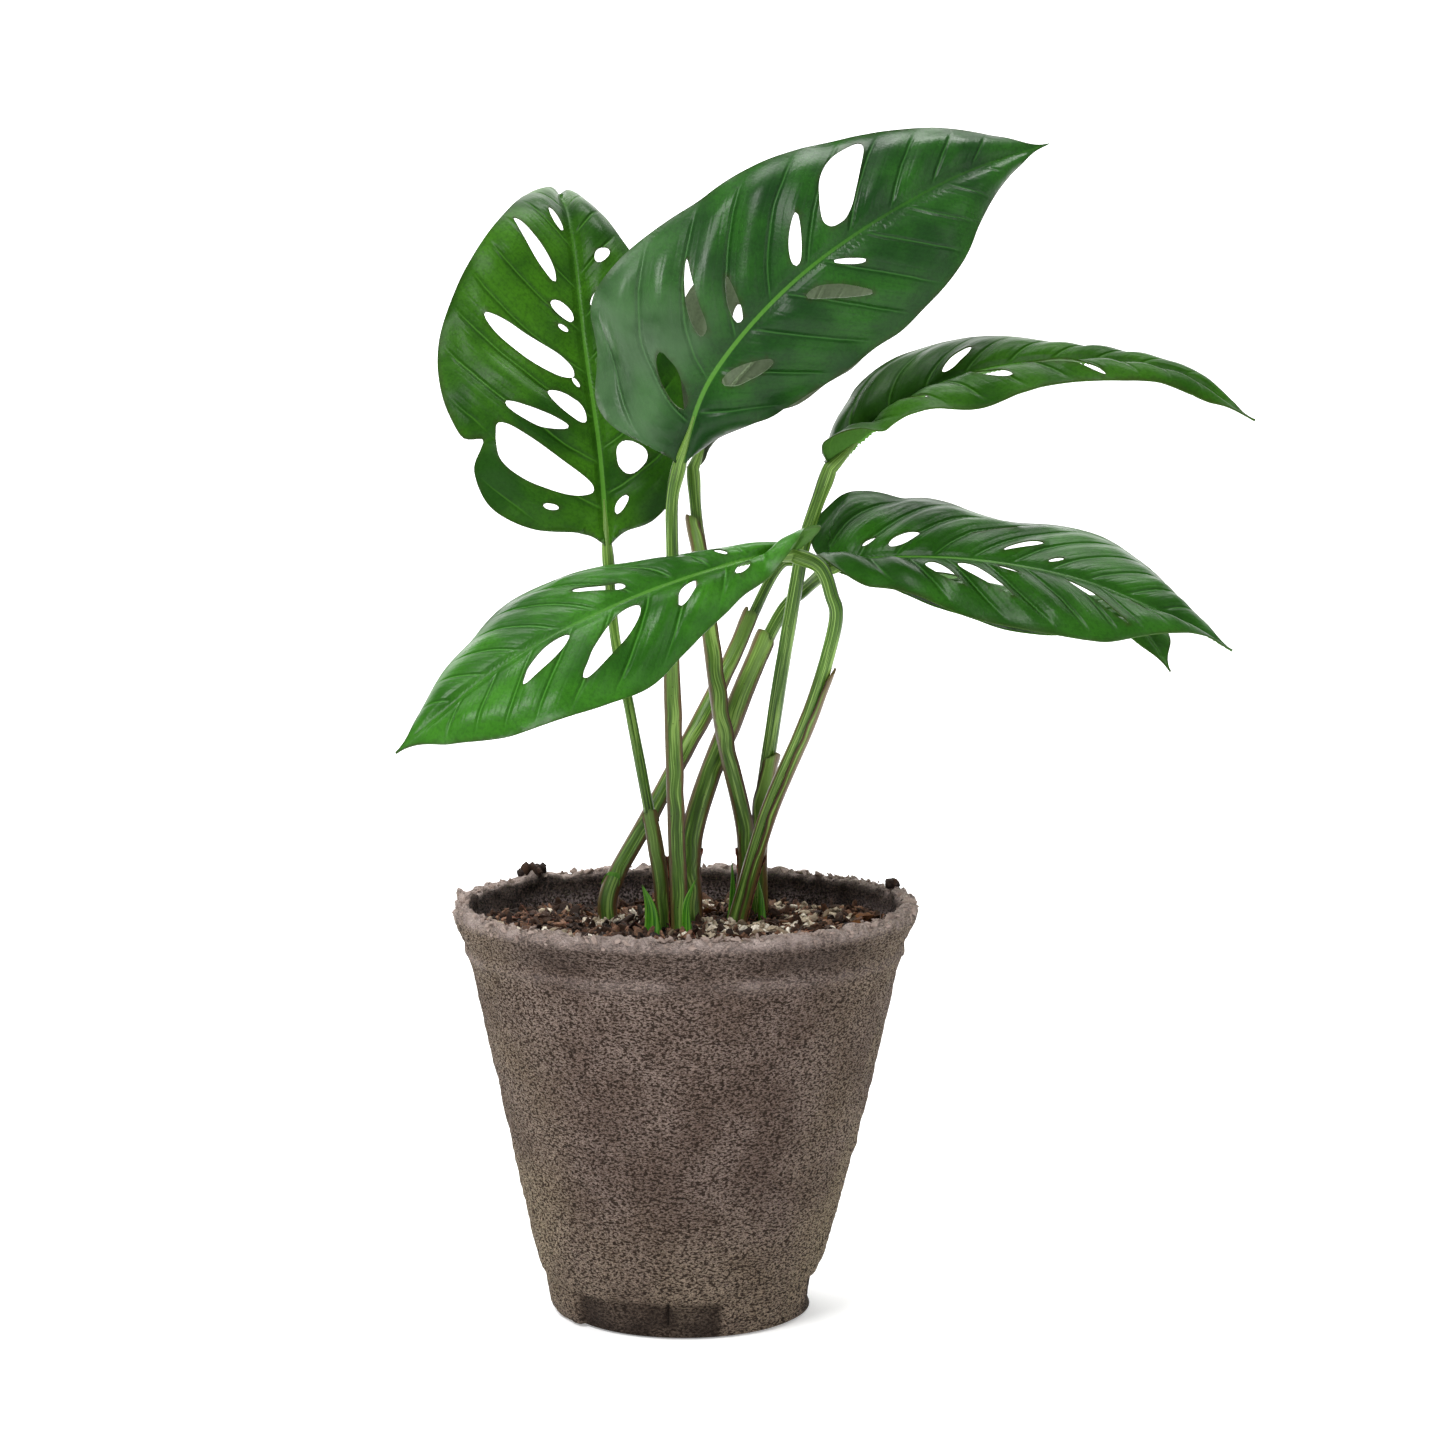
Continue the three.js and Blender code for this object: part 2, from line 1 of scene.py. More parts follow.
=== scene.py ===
"""The looks of the potted monstera: veined leaves, sheathed stalks, potting mix and a moulded fibre pot.

Sizes are in millimetres until a mesh is made. Places are measured from the middle of the soil surface,
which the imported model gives. Leaf coordinates are s, along the midrib, and v, across it (left is positive).
"""
import math

import bpy
import numpy as np
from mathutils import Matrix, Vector
from mathutils.geometry import delaunay_2d_cdt
from mathutils.kdtree import KDTree


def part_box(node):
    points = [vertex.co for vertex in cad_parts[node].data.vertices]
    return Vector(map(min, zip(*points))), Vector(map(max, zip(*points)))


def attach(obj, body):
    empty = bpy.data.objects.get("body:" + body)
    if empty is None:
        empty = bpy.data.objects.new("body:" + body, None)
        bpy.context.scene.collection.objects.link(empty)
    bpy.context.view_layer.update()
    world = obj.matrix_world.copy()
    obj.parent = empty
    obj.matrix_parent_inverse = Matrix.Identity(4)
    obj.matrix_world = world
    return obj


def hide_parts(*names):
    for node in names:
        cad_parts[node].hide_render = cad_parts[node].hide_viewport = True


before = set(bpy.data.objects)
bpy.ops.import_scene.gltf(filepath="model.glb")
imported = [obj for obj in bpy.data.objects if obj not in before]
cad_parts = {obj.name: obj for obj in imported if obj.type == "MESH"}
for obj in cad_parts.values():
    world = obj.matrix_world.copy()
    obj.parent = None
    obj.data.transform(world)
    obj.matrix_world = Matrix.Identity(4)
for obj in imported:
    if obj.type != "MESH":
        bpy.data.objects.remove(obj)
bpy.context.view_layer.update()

MM = 0.001

# ---------------------------------------------------------------- sizes read from the frame

_, pot_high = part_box("pot")
soil_low, soil_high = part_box("soil")
POT_HEIGHT = pot_high.z / MM
RIM_RADIUS = pot_high.x / MM
SOIL_TOP = soil_high.z / MM
SOIL_RADIUS = soil_high.x / MM - 0.6

# ---------------------------------------------------------------- the leaves
# These lists follow the CAD blades, with some outline points moved and some holes added.

RISE_STATIONS = np.array([0, 0.15, 0.4, 0.7, 1])

LEAVES = [
    dict(
        name="back_left",
        path=[(-5, -3, 0), (-7, -2, 18), (-14, 4, 55), (-18, 8, 74), (-20, 10, 97)],
        radius=1.4, sheath=30, sheath_turn=-80, sheath_span=200,
        midrib=[
            (-20, 10, 97), (-22, 16, 121), (-26, 25, 148),
            (-30, 39, 178), (-33, 54, 187), (-36, 80, 190),
        ],
        left=[
            (4, 6), (6, 19), (12, 29), (22, 33), (29, 30.8), (31, 30.4), (32.3, 36), (44, 39), (61, 37),
            (80, 27), (98, 13), (118, 4),
        ],
        right=[(4, 5), (7, 13), (15, 20), (25, 23), (45, 24), (68, 20), (93, 10), (114, 4)],
        left_rise=(-9, -10, -12, 5, 14),
        right_rise=(8, 12, 12, 0, -10),
        holes=[
            (1, 90, 2.5, 6, 4.5, 1.5, 0), (1, 81, 6, 16, 7, 1.6, -0.4), (-1, 79, 4.8, 9, 4, 0.4, -0.2),
            (-1, 67, 2.5, 6, 3.5, 1, 0), (1, 64, 2.2, 8, 4.2, 0.7, -0.2), (1, 54, 4, 25.5, 8, 0.8, -0.15),
            (1, 38, 2.5, 12, 6, 0.7, -0.3), (1, 35, 8, 23.5, 4.2, 0.5, 0.2), (-1, 23, 4, 12, 8, 0, -0.3),
            (1, 21, 2.5, 27, 11, 0.6, 0.45), (-1, 11, 2.5, 6.2, 3.4, 0.9, -0.2),
            (1, 59, 4, 6.6, 2, 0.5, 0), (1, 44, 3, 5, 2.2, 0.8, 0), (1, 11, 12, 16, 1.6, 0.2, 0),
        ],
        deep=(0.011, 0.05, 0.004), light=(0.036, 0.13, 0.006), under=(0.05, 0.12, 0.02),
    ),
    dict(
        name="top_front",
        path=[(-1, -8, 0), (-2, -5, 30), (-3, -3, 67), (-3, -5, 95), (-3, -9, 110), (-1, -12, 120)],
        radius=1.7, sheath=78, sheath_turn=-110, sheath_span=170,
        midrib=[(-1, -12, 120), (8, -20, 143), (31, -22, 168), (64, -12, 189), (93, 6, 200)],
        left=[(1, 8), (2, 19.5), (9, 29.5), (24, 36), (50, 33), (78, 27), (106, 15), (123, 6)],
        right=[(3, 3), (9, 7), (16, 14), (26, 20.5), (50, 25.5), (70, 26.5), (90, 22), (106, 13), (122, 4)],
        left_rise=(125, 100, 70, 56, 57),
        right_rise=(-155, -125, -99, -77, -76),
        holes=[
            (1, 18.5, 2.2, 14, 7, 0.6, -0.1), (-1, 30.5, 2.2, 10, 8, 1.3, 0.1),
            (1, 36, 7, 23, 3.6, 0.6, -0.5),
            (1, 42, 2.2, 12.5, 3.2, 0.5, -0.4), (1, 62, 2.2, 12.5, 3.4, 0.7, -0.2),
            (-1, 63, 4, 14, 6, 1.3, -0.35),
            (1, 78.5, 4, 20.5, 12.5, 0.8, 0.2), (-1, 69.5, 2, 6.6, 2.6, 1.4, 0.2),
        ],
        deep=(0.006, 0.036, 0.005), light=(0.016, 0.085, 0.007), under=(0.05, 0.12, 0.02),
    ),
    dict(
        name="right_upper",
        path=[(19, 24, 0), (19, 20, 21), (23, 13, 52), (28, 8, 84), (31, 5, 100), (37, 0, 118)],
        radius=1.9, sheath=44, sheath_turn=-50, sheath_span=190,
        midrib=[(37, 0, 118), (48, 3, 128), (67, 1, 140), (93, -5, 145), (121, -13, 142), (141, -26, 131)],
        left=[(4, 7), (12, 16), (22, 24), (33, 24.5), (50, 16.5), (66, 12.5), (82, 10), (100, 5.5)],
        right=[(1, 8), (5, 10.5), (18, 16), (40, 19.5), (58, 18), (75, 15), (92, 10), (106, 7)],
        left_rise=(0, 30, 26, 10, 8),
        right_rise=(60, -8, -26, -15, -5),
        holes=[
            (-1, 29, 7.5, 14, 4, 1, 0), (1, 41, 2.5, 9.4, 5, 0.9, -0.1),
            (-1, 50, 3, 11, 6.4, 1.3, 0), (-1, 69, 2, 12, 6.2, 2.2, 0),
        ],
        deep=(0.009, 0.045, 0.002), light=(0.024, 0.09, 0.005), under=(0.06, 0.16, 0.025),
    ),
    dict(
        name="right_lower",
        path=[(2, 6, 0), (2, 9, 23), (12, 18, 51), (24, 17, 78), (31, 14, 86), (37, 6, 92)],
        radius=1.8, sheath=74, sheath_turn=-120, sheath_span=210,
        midrib=[(37, 6, 92), (50, 0, 95), (74, -6, 95), (101, -10, 90), (127, -14, 79), (138, -16, 73)],
        left=[(-6, 9), (-6, 17), (3, 25), (17, 29), (38, 28.5), (56, 28), (73, 24), (88, 15), (99, 6)],
        right=[(1, 9), (8, 15), (22, 18), (44, 22), (62, 24), (78, 21), (90, 12), (100, 4)],
        left_rise=(50, 30, 18, 23, 19),
        right_rise=(22, -22, -36, -32, 0),
        holes=[
            (1, 20, 3, 9, 4.4, 1, 0), (-1, 33, 7, 14.5, 5.4, 1.2, 0), (1, 42, 10, 17, 2.5, 1.6, 0),
            (-1, 43, 4, 15.5, 4.6, 1.3, -0.2), (-1, 48, 2.5, 6, 2.4, 1.6, 0), (1, 50, 4, 11, 3.2, 1.3, 0.2),
            (-1, 72, 3, 14, 3.5, 1.7, 0), (1, 11, 4, 7, 2, 0.9, 0), (1, 59, 3, 5.8, 2, 1.2, 0),
            (-1, 82, 2.5, 6, 1.4, 1.6, 0),
        ],
        deep=(0.009, 0.05, 0.003), light=(0.021, 0.1, 0.006), under=(0.05, 0.13, 0.02),
    ),
    dict(
        name="back_middle",
        path=[(15, 12, 0), (16, 10, 22), (10, 9, 52), (5, 14, 91), (3, 19, 104), (2, 22, 117)],
        radius=1.6, sheath=104, sheath_turn=-150, sheath_span=230,
        midrib=[(2, 22, 117), (10, 31, 135), (27, 38, 152), (48, 47, 161), (58, 52, 163)],
        left=[(8, 2.6), (16, 7), (28, 16), (42, 19), (57, 18), (69, 12), (77, 5)],
        right=[(8, 2.6), (14, 8), (21, 14), (31, 23), (41, 26), (53, 18), (66, 9), (76, 4)],
        left_rise=(-178, -165, -132, -130, -130),
        right_rise=(165, 150, 116, 112, 118),
        holes=[(1, 30, 3, 12, 3.5, 0.8, 0), (-1, 38, 4, 15, 4, 0.8, 0), (1, 50, 3, 11, 3.2, 0.9, 0)],
        deep=(0.014, 0.06, 0.006), light=(0.035, 0.12, 0.012), under=(0.075, 0.1, 0.055),
    ),
    dict(
        name="left_lower",
        path=[
            (13, 4, 0), (21, 0, 29), (32, -8, 57), (38, -13, 79),
            (37, -14, 87), (34, -14, 94), (27, -14, 97),
        ],
        radius=1.9, sheath=68, sheath_turn=-15, sheath_span=150,
        midrib=[(27, -14, 97), (12, -23, 95), (-14, -34, 87), (-42, -43, 73), (-70, -50, 51)],
        left=[(-3, 5), (-4, 11), (3, 11), (12, 9), (31, 15), (52, 23), (74, 24), (90, 19), (102, 11)],
        right=[(1, 4), (8, 6), (20, 9), (38, 16), (55, 22), (70, 23), (88, 15), (103, 7)],
        left_rise=(40, -35, -60, -42, -32),
        right_rise=(45, 20, 22, 23, 25),
        holes=[
            (1, 33, 2.4, 8, 4.8, 1, -0.1), (-1, 51, 3, 9.5, 6.2, 1.6, 0),
            (1, 56.5, 2.5, 16.5, 9.4, 1.4, -0.25),
            (1, 73, 2, 10.4, 8.8, 1.7, -0.2), (-1, 19, 2, 4.4, 2.2, 1, 0), (1, 17.5, 3.4, 6.4, 4, 1, 0),
        ],
        deep=(0.014, 0.08, 0.004), light=(0.036, 0.165, 0.009), under=(0.05, 0.13, 0.02),
    ),
    dict(
        name="right_back",
        path=[
            (-20, 8, 0), (-19, 10, 9), (-8, 21, 28), (10, 33, 61),
            (23, 37, 88), (29, 37, 92), (36, 36, 91),
        ],
        radius=1.5, sheath=78, sheath_turn=-120, sheath_span=200,
        midrib=[(36, 36, 91), (58, 36, 86), (84, 33, 80), (110, 26, 78), (120, 20, 74), (126, 12, 65)],
        left=[(-2, 8), (0, 16), (10, 23), (24, 28), (40, 29), (56, 26), (72, 19), (86, 10), (96, 4)],
        right=[(-2, 8), (0, 16), (10, 23), (24, 28), (40, 29), (56, 26), (72, 19), (86, 10), (96, 4)],
        left_rise=(0, 0, 2, 6, 0),
        right_rise=(0, -1, -1, -10, 0),
        holes=[
            (1, 30, 4, 16, 4.5, 0.8, 0), (-1, 34, 4, 15, 4.2, 0.8, 0),
            (1, 55, 4, 14, 4, 0.9, 0), (-1, 58, 4, 13, 4, 0.9, 0),
        ],
        deep=(0.012, 0.055, 0.004), light=(0.028, 0.12, 0.008), under=(0.045, 0.14, 0.012),
    ),
]

SHOOTS = [
    dict(name="new_leaf_spear", foot=(-7.9, -13.2), tip=(-10.7, -13.2, 13), radius=2.5, curl=0.8),
    dict(name="side_shoot_middle", foot=(0.7, -12.4), tip=(3, -12.2, 14.5), radius=1.5, curl=-1.4),
    dict(name="side_shoot_right", foot=(12.1, 8.4), tip=(12.1, 7.6, 16), radius=1.2, curl=0.3),
    dict(name="sheath_stub_right", foot=(20, 8.5), tip=(19, 9, 11), radius=1.3, curl=0.2),
]

ROOT_DEPTH = 5
SHEATH_WALL = 0.6
BLADE_SWELL = 2
CREASE_WIDTH = 2

# ---------------------------------------------------------------- curves, noise and small helpers


def smoothstep(x, low, high):
    t = np.clip((x - low) / (high - low), 0, 1)
    return t * t * (3 - 2 * t)


def catmull_rom(points, t):
    """A uniform Catmull-Rom curve through the points, at t from 0 to 1."""
    points = np.asarray(points, float)
    first = 2 * points[:1] - points[1:2]
    last = 2 * points[-1:] - points[-2:-1]
    padded = np.vstack([first, points, last])
    place = np.clip(t, 0, 1) * (len(points) - 1)
    i = np.minimum(place.astype(int), len(points) - 2)
    w = (place - i)[:, None]
    p0, p1, p2, p3 = (padded[i + k] for k in range(4))
    t0, t1 = 0.5 * (p2 - p0), 0.5 * (p3 - p1)
    return (2 * p1 - 2 * p2 + t0 + t1) * w**3 + (3 * p2 - 3 * p1 - 2 * t0 - t1) * w**2 + t0 * w + p1


def evenly_spaced(points, count):
    """Points at equal distances along the Catmull-Rom curve, with their distances."""
    fine = catmull_rom(points, np.linspace(0, 1, 800))
    run = np.r_[0, np.cumsum(np.linalg.norm(np.diff(fine, axis=0), axis=1))]
    at = np.linspace(0, run[-1], count)
    return np.stack([np.interp(at, run, column) for column in fine.T], 1), at


def lattice_value(cell, seed):
    n = (cell[..., 0] * 73856093) ^ (cell[..., 1] * 19349663) ^ (cell[..., 2] * 83492791) ^ (seed * 40503)
    n = ((n ^ (n >> 13)) * 1274126177) & 0x7FFFFFFF
    n = ((n ^ (n >> 11)) * 668265263) & 0x7FFFFFFF
    return n / 0x3FFFFFFF - 1.0


def value_noise(points, size, seed=0):
    """Smooth noise from -1 to 1 with features of the given size."""
    p = np.asarray(points, float) / size
    cell = np.floor(p).astype(np.int64)
    w = p - cell
    w = w * w * (3 - 2 * w)
    total = 0
    for corner in np.ndindex(2, 2, 2):
        c = np.array(corner)
        weight = np.prod(np.where(c == 1, w, 1 - w), axis=-1)
        total = total + weight * lattice_value(cell + c, seed)
    return total


def unit(vectors):
    return vectors / np.linalg.norm(vectors, axis=-1, keepdims=True)


def bell(x, width):
    return np.exp(-((x / width) ** 2))


def angle_gap(angle, centre):
    return np.abs(np.mod(angle - centre + math.pi, 2 * math.pi) - math.pi)


def on_circle(radius, angle, height):
    return np.stack([radius * np.cos(angle), radius * np.sin(angle), height], -1)


def make_piece(name, points, faces, material, attributes=None, sharp_angle=50):
    """A mesh object from millimetre points. Every piece moves with the one body, root."""
    mesh = bpy.data.meshes.new(name)
    mesh.from_pydata(np.asarray(points) * MM, [], faces)
    for key, values in (attributes or {}).items():
        layer = mesh.attributes.new(key, "FLOAT", "POINT")
        layer.data.foreach_set("value", np.asarray(values, np.float32))
    mesh.polygons.foreach_set("use_smooth", np.ones(len(mesh.polygons), bool))
    if sharp_angle:
        mesh.set_sharp_from_angle(angle=math.radians(sharp_angle))
    mesh.materials.append(material)
    piece = bpy.data.objects.new(name, mesh)
    bpy.context.scene.collection.objects.link(piece)
    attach(piece, "root")
    return piece


def tube_faces(rings, sides, closed_ends=True, offset=0):
    faces = []
    for i in range(rings - 1):
        for k in range(sides):
            a, b = offset + i * sides + k, offset + i * sides + (k + 1) % sides
            faces.append((a, b, b + sides, a + sides))
    if closed_ends:
        faces.append(tuple(offset + k for k in reversed(range(sides))))
        faces.append(tuple(offset + (rings - 1) * sides + k for k in range(sides)))
    return faces


def path_frames(line):
    """Tangent, side and up directions along a centre line, turned as little as possible."""
    tangent = unit(np.gradient(line, axis=0))
    side = np.zeros_like(line)
    start = np.array([1.0, 0.0, 0.0])
    side[0] = unit(start - tangent[0] * (start @ tangent[0]))
    for i in range(1, len(line)):
        carried = side[i - 1] - tangent[i] * (side[i - 1] @ tangent[i])
        side[i] = unit(carried)
    return tangent, side, np.cross(tangent, side)


# ---------------------------------------------------------------- materials


class Shader:
    """A material's node tree, with short calls for the nodes that the materials here use."""

    def __init__(self, name, roughness, specular=0.5):
        self.material = bpy.data.materials.new(name)
        self.material.use_nodes = True
        self.tree = self.material.node_tree
        self.surface = self.tree.nodes["Principled BSDF"]
        self.surface.inputs["Roughness"].default_value = roughness
        self.surface.inputs["Specular IOR Level"].default_value = specular

    def node(self, kind, **values):
        node = self.tree.nodes.new(kind)
        for key, value in values.items():
            setattr(node, key, value)
        return node

    def put(self, socket, value):
        if isinstance(value, bpy.types.NodeSocket):
            self.tree.links.new(value, socket)
        elif isinstance(value, tuple) and len(value) == 3 and socket.type == "RGBA":
            socket.default_value = (*value, 1)
        else:
            socket.default_value = value

    def attribute(self, name):
        return self.node("ShaderNodeAttribute", attribute_name=name).outputs["Fac"]

    def position(self):
        return self.node("ShaderNodeTexCoord").outputs["Object"]

    def noise(self, size_mm, detail=3, vector=None, distortion=0.0):
        texture = self.node("ShaderNodeTexNoise")
        self.put(texture.inputs["Vector"], vector or self.position())
        texture.inputs["Scale"].default_value = 1 / (size_mm * MM)
        texture.inputs["Detail"].default_value = detail
        texture.inputs["Distortion"].default_value = distortion
        return texture.outputs["Fac"]

    def cells(self, size_mm):
        texture = self.node("ShaderNodeTexVoronoi")
        self.put(texture.inputs["Vector"], self.position())
        texture.inputs["Scale"].default_value = 1 / (size_mm * MM)
        return texture.outputs["Distance"]

    def remap(self, value, low, high, to_low=0.0, to_high=1.0):
        node = self.node("ShaderNodeMapRange", interpolation_type="SMOOTHSTEP")
        self.put(node.inputs["Value"], value)
        node.inputs["From Min"].default_value = low
        node.inputs["From Max"].default_value = high
        node.inputs["To Min"].default_value = to_low
        node.inputs["To Max"].default_value = to_high
        return node.outputs["Result"]

    def math(self, operation, a, b=0.0):
        node = self.node("ShaderNodeMath", operation=operation)
        self.put(node.inputs[0], a)
        self.put(node.inputs[1], b)
        return node.outputs[0]

    def times(self, a, b):
        return self.math("MULTIPLY", a, b)

    def mix(self, share, a, b):
        node = self.node("ShaderNodeMix", data_type="RGBA")
        self.put(node.inputs["Factor"], share)
        self.put(node.inputs[6], a)
        self.put(node.inputs[7], b)
        return node.outputs[2]

    def bump(self, height, distance_mm, strength=1.0, under=None):
        node = self.node("ShaderNodeBump")
        self.put(node.inputs["Height"], height)
        node.inputs["Distance"].default_value = distance_mm * MM
        node.inputs["Strength"].default_value = strength
        if under is not None:
            self.put(node.inputs["Normal"], under)
        return node.outputs["Normal"]

    def finish(self, colour, normal=None, roughness=None):
        self.put(self.surface.inputs["Base Color"], colour)
        if normal is not None:
            self.put(self.surface.inputs["Normal"], normal)
        if roughness is not None:
            self.put(self.surface.inputs["Roughness"], roughness)
        return self.material


LEAF_GLOSS = 0.15
GLOSS = {"back_left": 0.07, "right_upper": 0.04, "top_front": 0.17, "right_lower": 0.11, "right_back": 0.06}


def blade_material(leaf, vein_spacing):
    s = Shader("blade_" + leaf["name"], 0.36, GLOSS.get(leaf["name"], LEAF_GLOSS))
    margin, under = s.attribute("margin"), s.attribute("under")
    from_midrib = s.math("DIVIDE", s.math("ABSOLUTE", s.attribute("across")), s.attribute("midrib_half"))
    midrib = s.times(s.remap(from_midrib, 1.25, 0.75), s.attribute("midrib"))
    phase, calm = s.attribute("vein_phase"), s.attribute("calm")
    deep, light, below_base = leaf["deep"], leaf["light"], leaf["under"]
    vein_green = tuple(1.5 * c + 0.008 for c in light)
    midrib_green = (0.075, 0.22, 0.024)
    # distance from the nearest side vein, and from the nearest of the finer ones between them
    wobble = s.times(s.math("SUBTRACT", s.noise(13, 2), 0.5), 0.12)
    wavy = s.math("ADD", phase, wobble)
    gap = s.times(s.math("PINGPONG", wavy, 0.5), vein_spacing)
    fine_gap = s.times(s.math("PINGPONG", s.times(wavy, 4), 0.5), vein_spacing / 4)
    vein = s.times(s.remap(gap, 0.42, 0.08), calm)
    valley = s.times(s.remap(gap, 2.4, 0.2), calm)
    fine_vein = s.times(s.remap(fine_gap, 0.3, 0.05), calm)
    clouds = s.remap(s.noise(17, 3), 0.32, 0.7)
    mottled = s.times(s.remap(s.noise(0.8, 4), 0.42, 0.7), 0.35)
    top = s.mix(clouds, deep, light)
    # painted shade: the grooves along the side veins are painted darker
    top = s.mix(s.times(valley, 0.5), top, deep)
    top = s.mix(mottled, top, tuple(0.6 * c for c in deep))
    top = s.mix(s.times(fine_vein, 0.12), top, tuple(0.6 * c for c in deep))
    top = s.mix(s.times(vein, 0.5), top, vein_green)
    # painted sheen: a lighter grey-green over the left part of the front leaf, standing in for the light's
    # sheen
    sheen_and_bloom = s.times(s.attribute("sheen_and_bloom"), s.remap(s.noise(9, 5), 0.3, 0.65, 0.5, 1.0))
    top = s.mix(sheen_and_bloom, top, (0.085, 0.165, 0.075))
    top = s.mix(s.times(midrib, 0.8), top, midrib_green)
    top = s.mix(s.times(margin, 0.7), top, (0.02, 0.03, 0.006))
    below = s.mix(clouds, below_base, tuple(1.35 * c for c in below_base))
    below = s.mix(mottled, below, tuple(0.7 * c for c in below_base))
    lines_below = s.math("MAXIMUM", s.times(vein, 0.6), midrib)
    below = s.mix(lines_below, below, tuple(1.9 * c for c in below_base))
    below = s.mix(s.times(margin, 0.7), below, (0.03, 0.03, 0.01))
    colour = s.mix(under, top, below)
    crease = s.times(s.remap(gap, 0.0, 1.3), calm)
    fine_crease = s.times(s.remap(fine_gap, 0.0, 0.7), calm)
    normal = s.bump(crease, 0.5, 0.85)
    normal = s.bump(fine_crease, 0.06, 0.5, under=normal)
    normal = s.bump(s.noise(0.75, 3), 0.1, 0.55, under=normal)
    rough = s.remap(s.noise(9, 3), 0.3, 0.7, 0.27, 0.38)
    rough = s.math("ADD", rough, s.times(under, 0.2))
    return s.finish(colour, normal, rough)


def stalk_material(name, green, light, dark):
    s = Shader(name, 0.36, 0.28)
    brown, pale, along = s.attribute("brown"), s.attribute("pale"), s.attribute("along")
    around = s.attribute("around")
    streak_place = s.node("ShaderNodeCombineXYZ")
    s.put(streak_place.inputs["X"], around)
    s.put(streak_place.inputs["Z"], s.times(along, 0.006))
    streaks = s.node("ShaderNodeTexNoise")
    s.put(streaks.inputs["Vector"], streak_place.outputs["Vector"])
    streaks.inputs["Scale"].default_value = 7.5
    streaks.inputs["Detail"].default_value = 4
    streak = streaks.outputs["Fac"]
    colour = s.mix(s.remap(streak, 0.4, 0.47), dark, green)
    colour = s.mix(s.remap(streak, 0.53, 0.6), colour, light)
    # pale carries the painted highlight stripe down each stalk, and the paler green near the blade and at the
    # sheath tops
    colour = s.mix(s.times(pale, 0.6), colour, light)
    # brown carries the brown edges and tips, and painted shade down the shaded side of each stalk
    brown_and_painted_shade = s.times(brown, s.remap(s.noise(6, 4), 0.15, 0.36))
    colour = s.mix(s.attribute("reddish"), colour, (0.12, 0.04, 0.02))
    colour = s.mix(brown_and_painted_shade, colour, (0.035, 0.013, 0.008))
    specks = s.remap(s.cells(2.6), 0.1, 0.03)
    colour = s.mix(s.times(specks, 0.7), colour, (0.04, 0.025, 0.01))
    height = s.math("ADD", s.times(streak, 1.2), s.noise(0.5, 3))
    rough = s.math("ADD", 0.33, s.times(brown, 0.3))
    return s.finish(colour, s.bump(height, 0.18, 0.5), rough)


def husk_material():
    s = Shader("dry_husk", 0.8, 0.3)
    colour = s.mix(s.remap(s.noise(2.5, 5), 0.35, 0.65), (0.08, 0.026, 0.015), (0.36, 0.12, 0.075))
    colour = s.mix(s.remap(s.noise(0.7, 3), 0.5, 0.7), colour, (0.025, 0.012, 0.008))
    return s.finish(colour, s.bump(s.noise(0.6, 4), 0.3, 0.9))


def fibre_material():
    s = Shader("pot_fibre", 0.95, 0.15)
    rim, inside, low, pit = (s.attribute(name) for name in ("rim", "inside", "low", "pit"))
    stretched = s.node("ShaderNodeMapping")
    s.put(stretched.inputs["Vector"], s.position())
    stretched.inputs["Scale"].default_value = (1, 1, 1.9)
    fibre_place = stretched.outputs["Vector"]
    blotches = s.remap(s.noise(15, 4), 0.35, 0.68)
    grain = s.remap(s.noise(0.85, 5, fibre_place, 0.3), 0.425, 0.535)
    fine = s.remap(s.noise(0.42, 3, fibre_place, 0.3), 0.4, 0.58)
    # partly painted light: the sides and the lower cone are painted paler and more yellow
    tan_and_painted_light = s.times(s.attribute("tan_and_painted_light"), 0.85)
    colour = s.mix(blotches, (0.23, 0.165, 0.135), (0.35, 0.265, 0.225))
    colour = s.mix(tan_and_painted_light, colour, (0.5, 0.4, 0.265))
    colour = s.mix(s.times(s.math("SUBTRACT", 1.0, grain), 0.95), colour, (0.016, 0.009, 0.005))
    colour = s.mix(s.times(s.math("SUBTRACT", 1.0, fine), 0.7), colour, (0.035, 0.02, 0.013))
    # painted highlight: the rim's crest and the ridge at the collar's lower edge are painted pale
    painted_rim_highlight = s.times(rim, s.remap(s.noise(2.4, 4), 0.3, 0.62, 0.4, 1.0))
    colour = s.mix(s.times(painted_rim_highlight, 0.85), colour, (0.6, 0.49, 0.45))
    pits = s.remap(s.cells(3.6), 0.13, 0.06)
    # painted shade: the slit and the pin hole are painted near black, as the shade in them; the small cell
    # pits are dark specks of the fibre
    pits = s.math("MAXIMUM", s.times(pits, 0.85), pit)
    colour = s.mix(pits, colour, (0.012, 0.007, 0.005))
    # the inner wall is painted far darker than the outside
    dark_inner_wall = s.mix(s.remap(s.noise(0.7, 4), 0.48, 0.6), (0.006, 0.004, 0.003), (0.07, 0.046, 0.038))
    colour = s.mix(inside, colour, dark_inner_wall)
    speckled = s.times(s.attribute("sheen_and_bloom"), s.remap(s.noise(0.6, 4), 0.46, 0.56))
    colour = s.mix(speckled, colour, (0.27, 0.21, 0.21))
    # painted shade: the foot recesses and the front of the collar are painted darker
    colour = s.mix(s.times(low, 0.8), colour, (0.024, 0.015, 0.011))
    bands = s.node("ShaderNodeMapping")
    s.put(bands.inputs["Vector"], s.position())
    bands.inputs["Scale"].default_value = (0.3, 0.3, 2.6)
    press = s.noise(4, 3, bands.outputs["Vector"])
    coarse = s.bump(s.math("ADD", press, s.noise(2.0, 5)), 0.9, 0.55)
    hairs = s.bump(s.noise(0.85, 5, fibre_place, 0.3), 1.5, 1.0, under=coarse)
    hairs = s.bump(fine, 0.35, 0.8, under=hairs)
    return s.finish(colour, s.bump(pits, -0.5, 0.6, under=hairs))


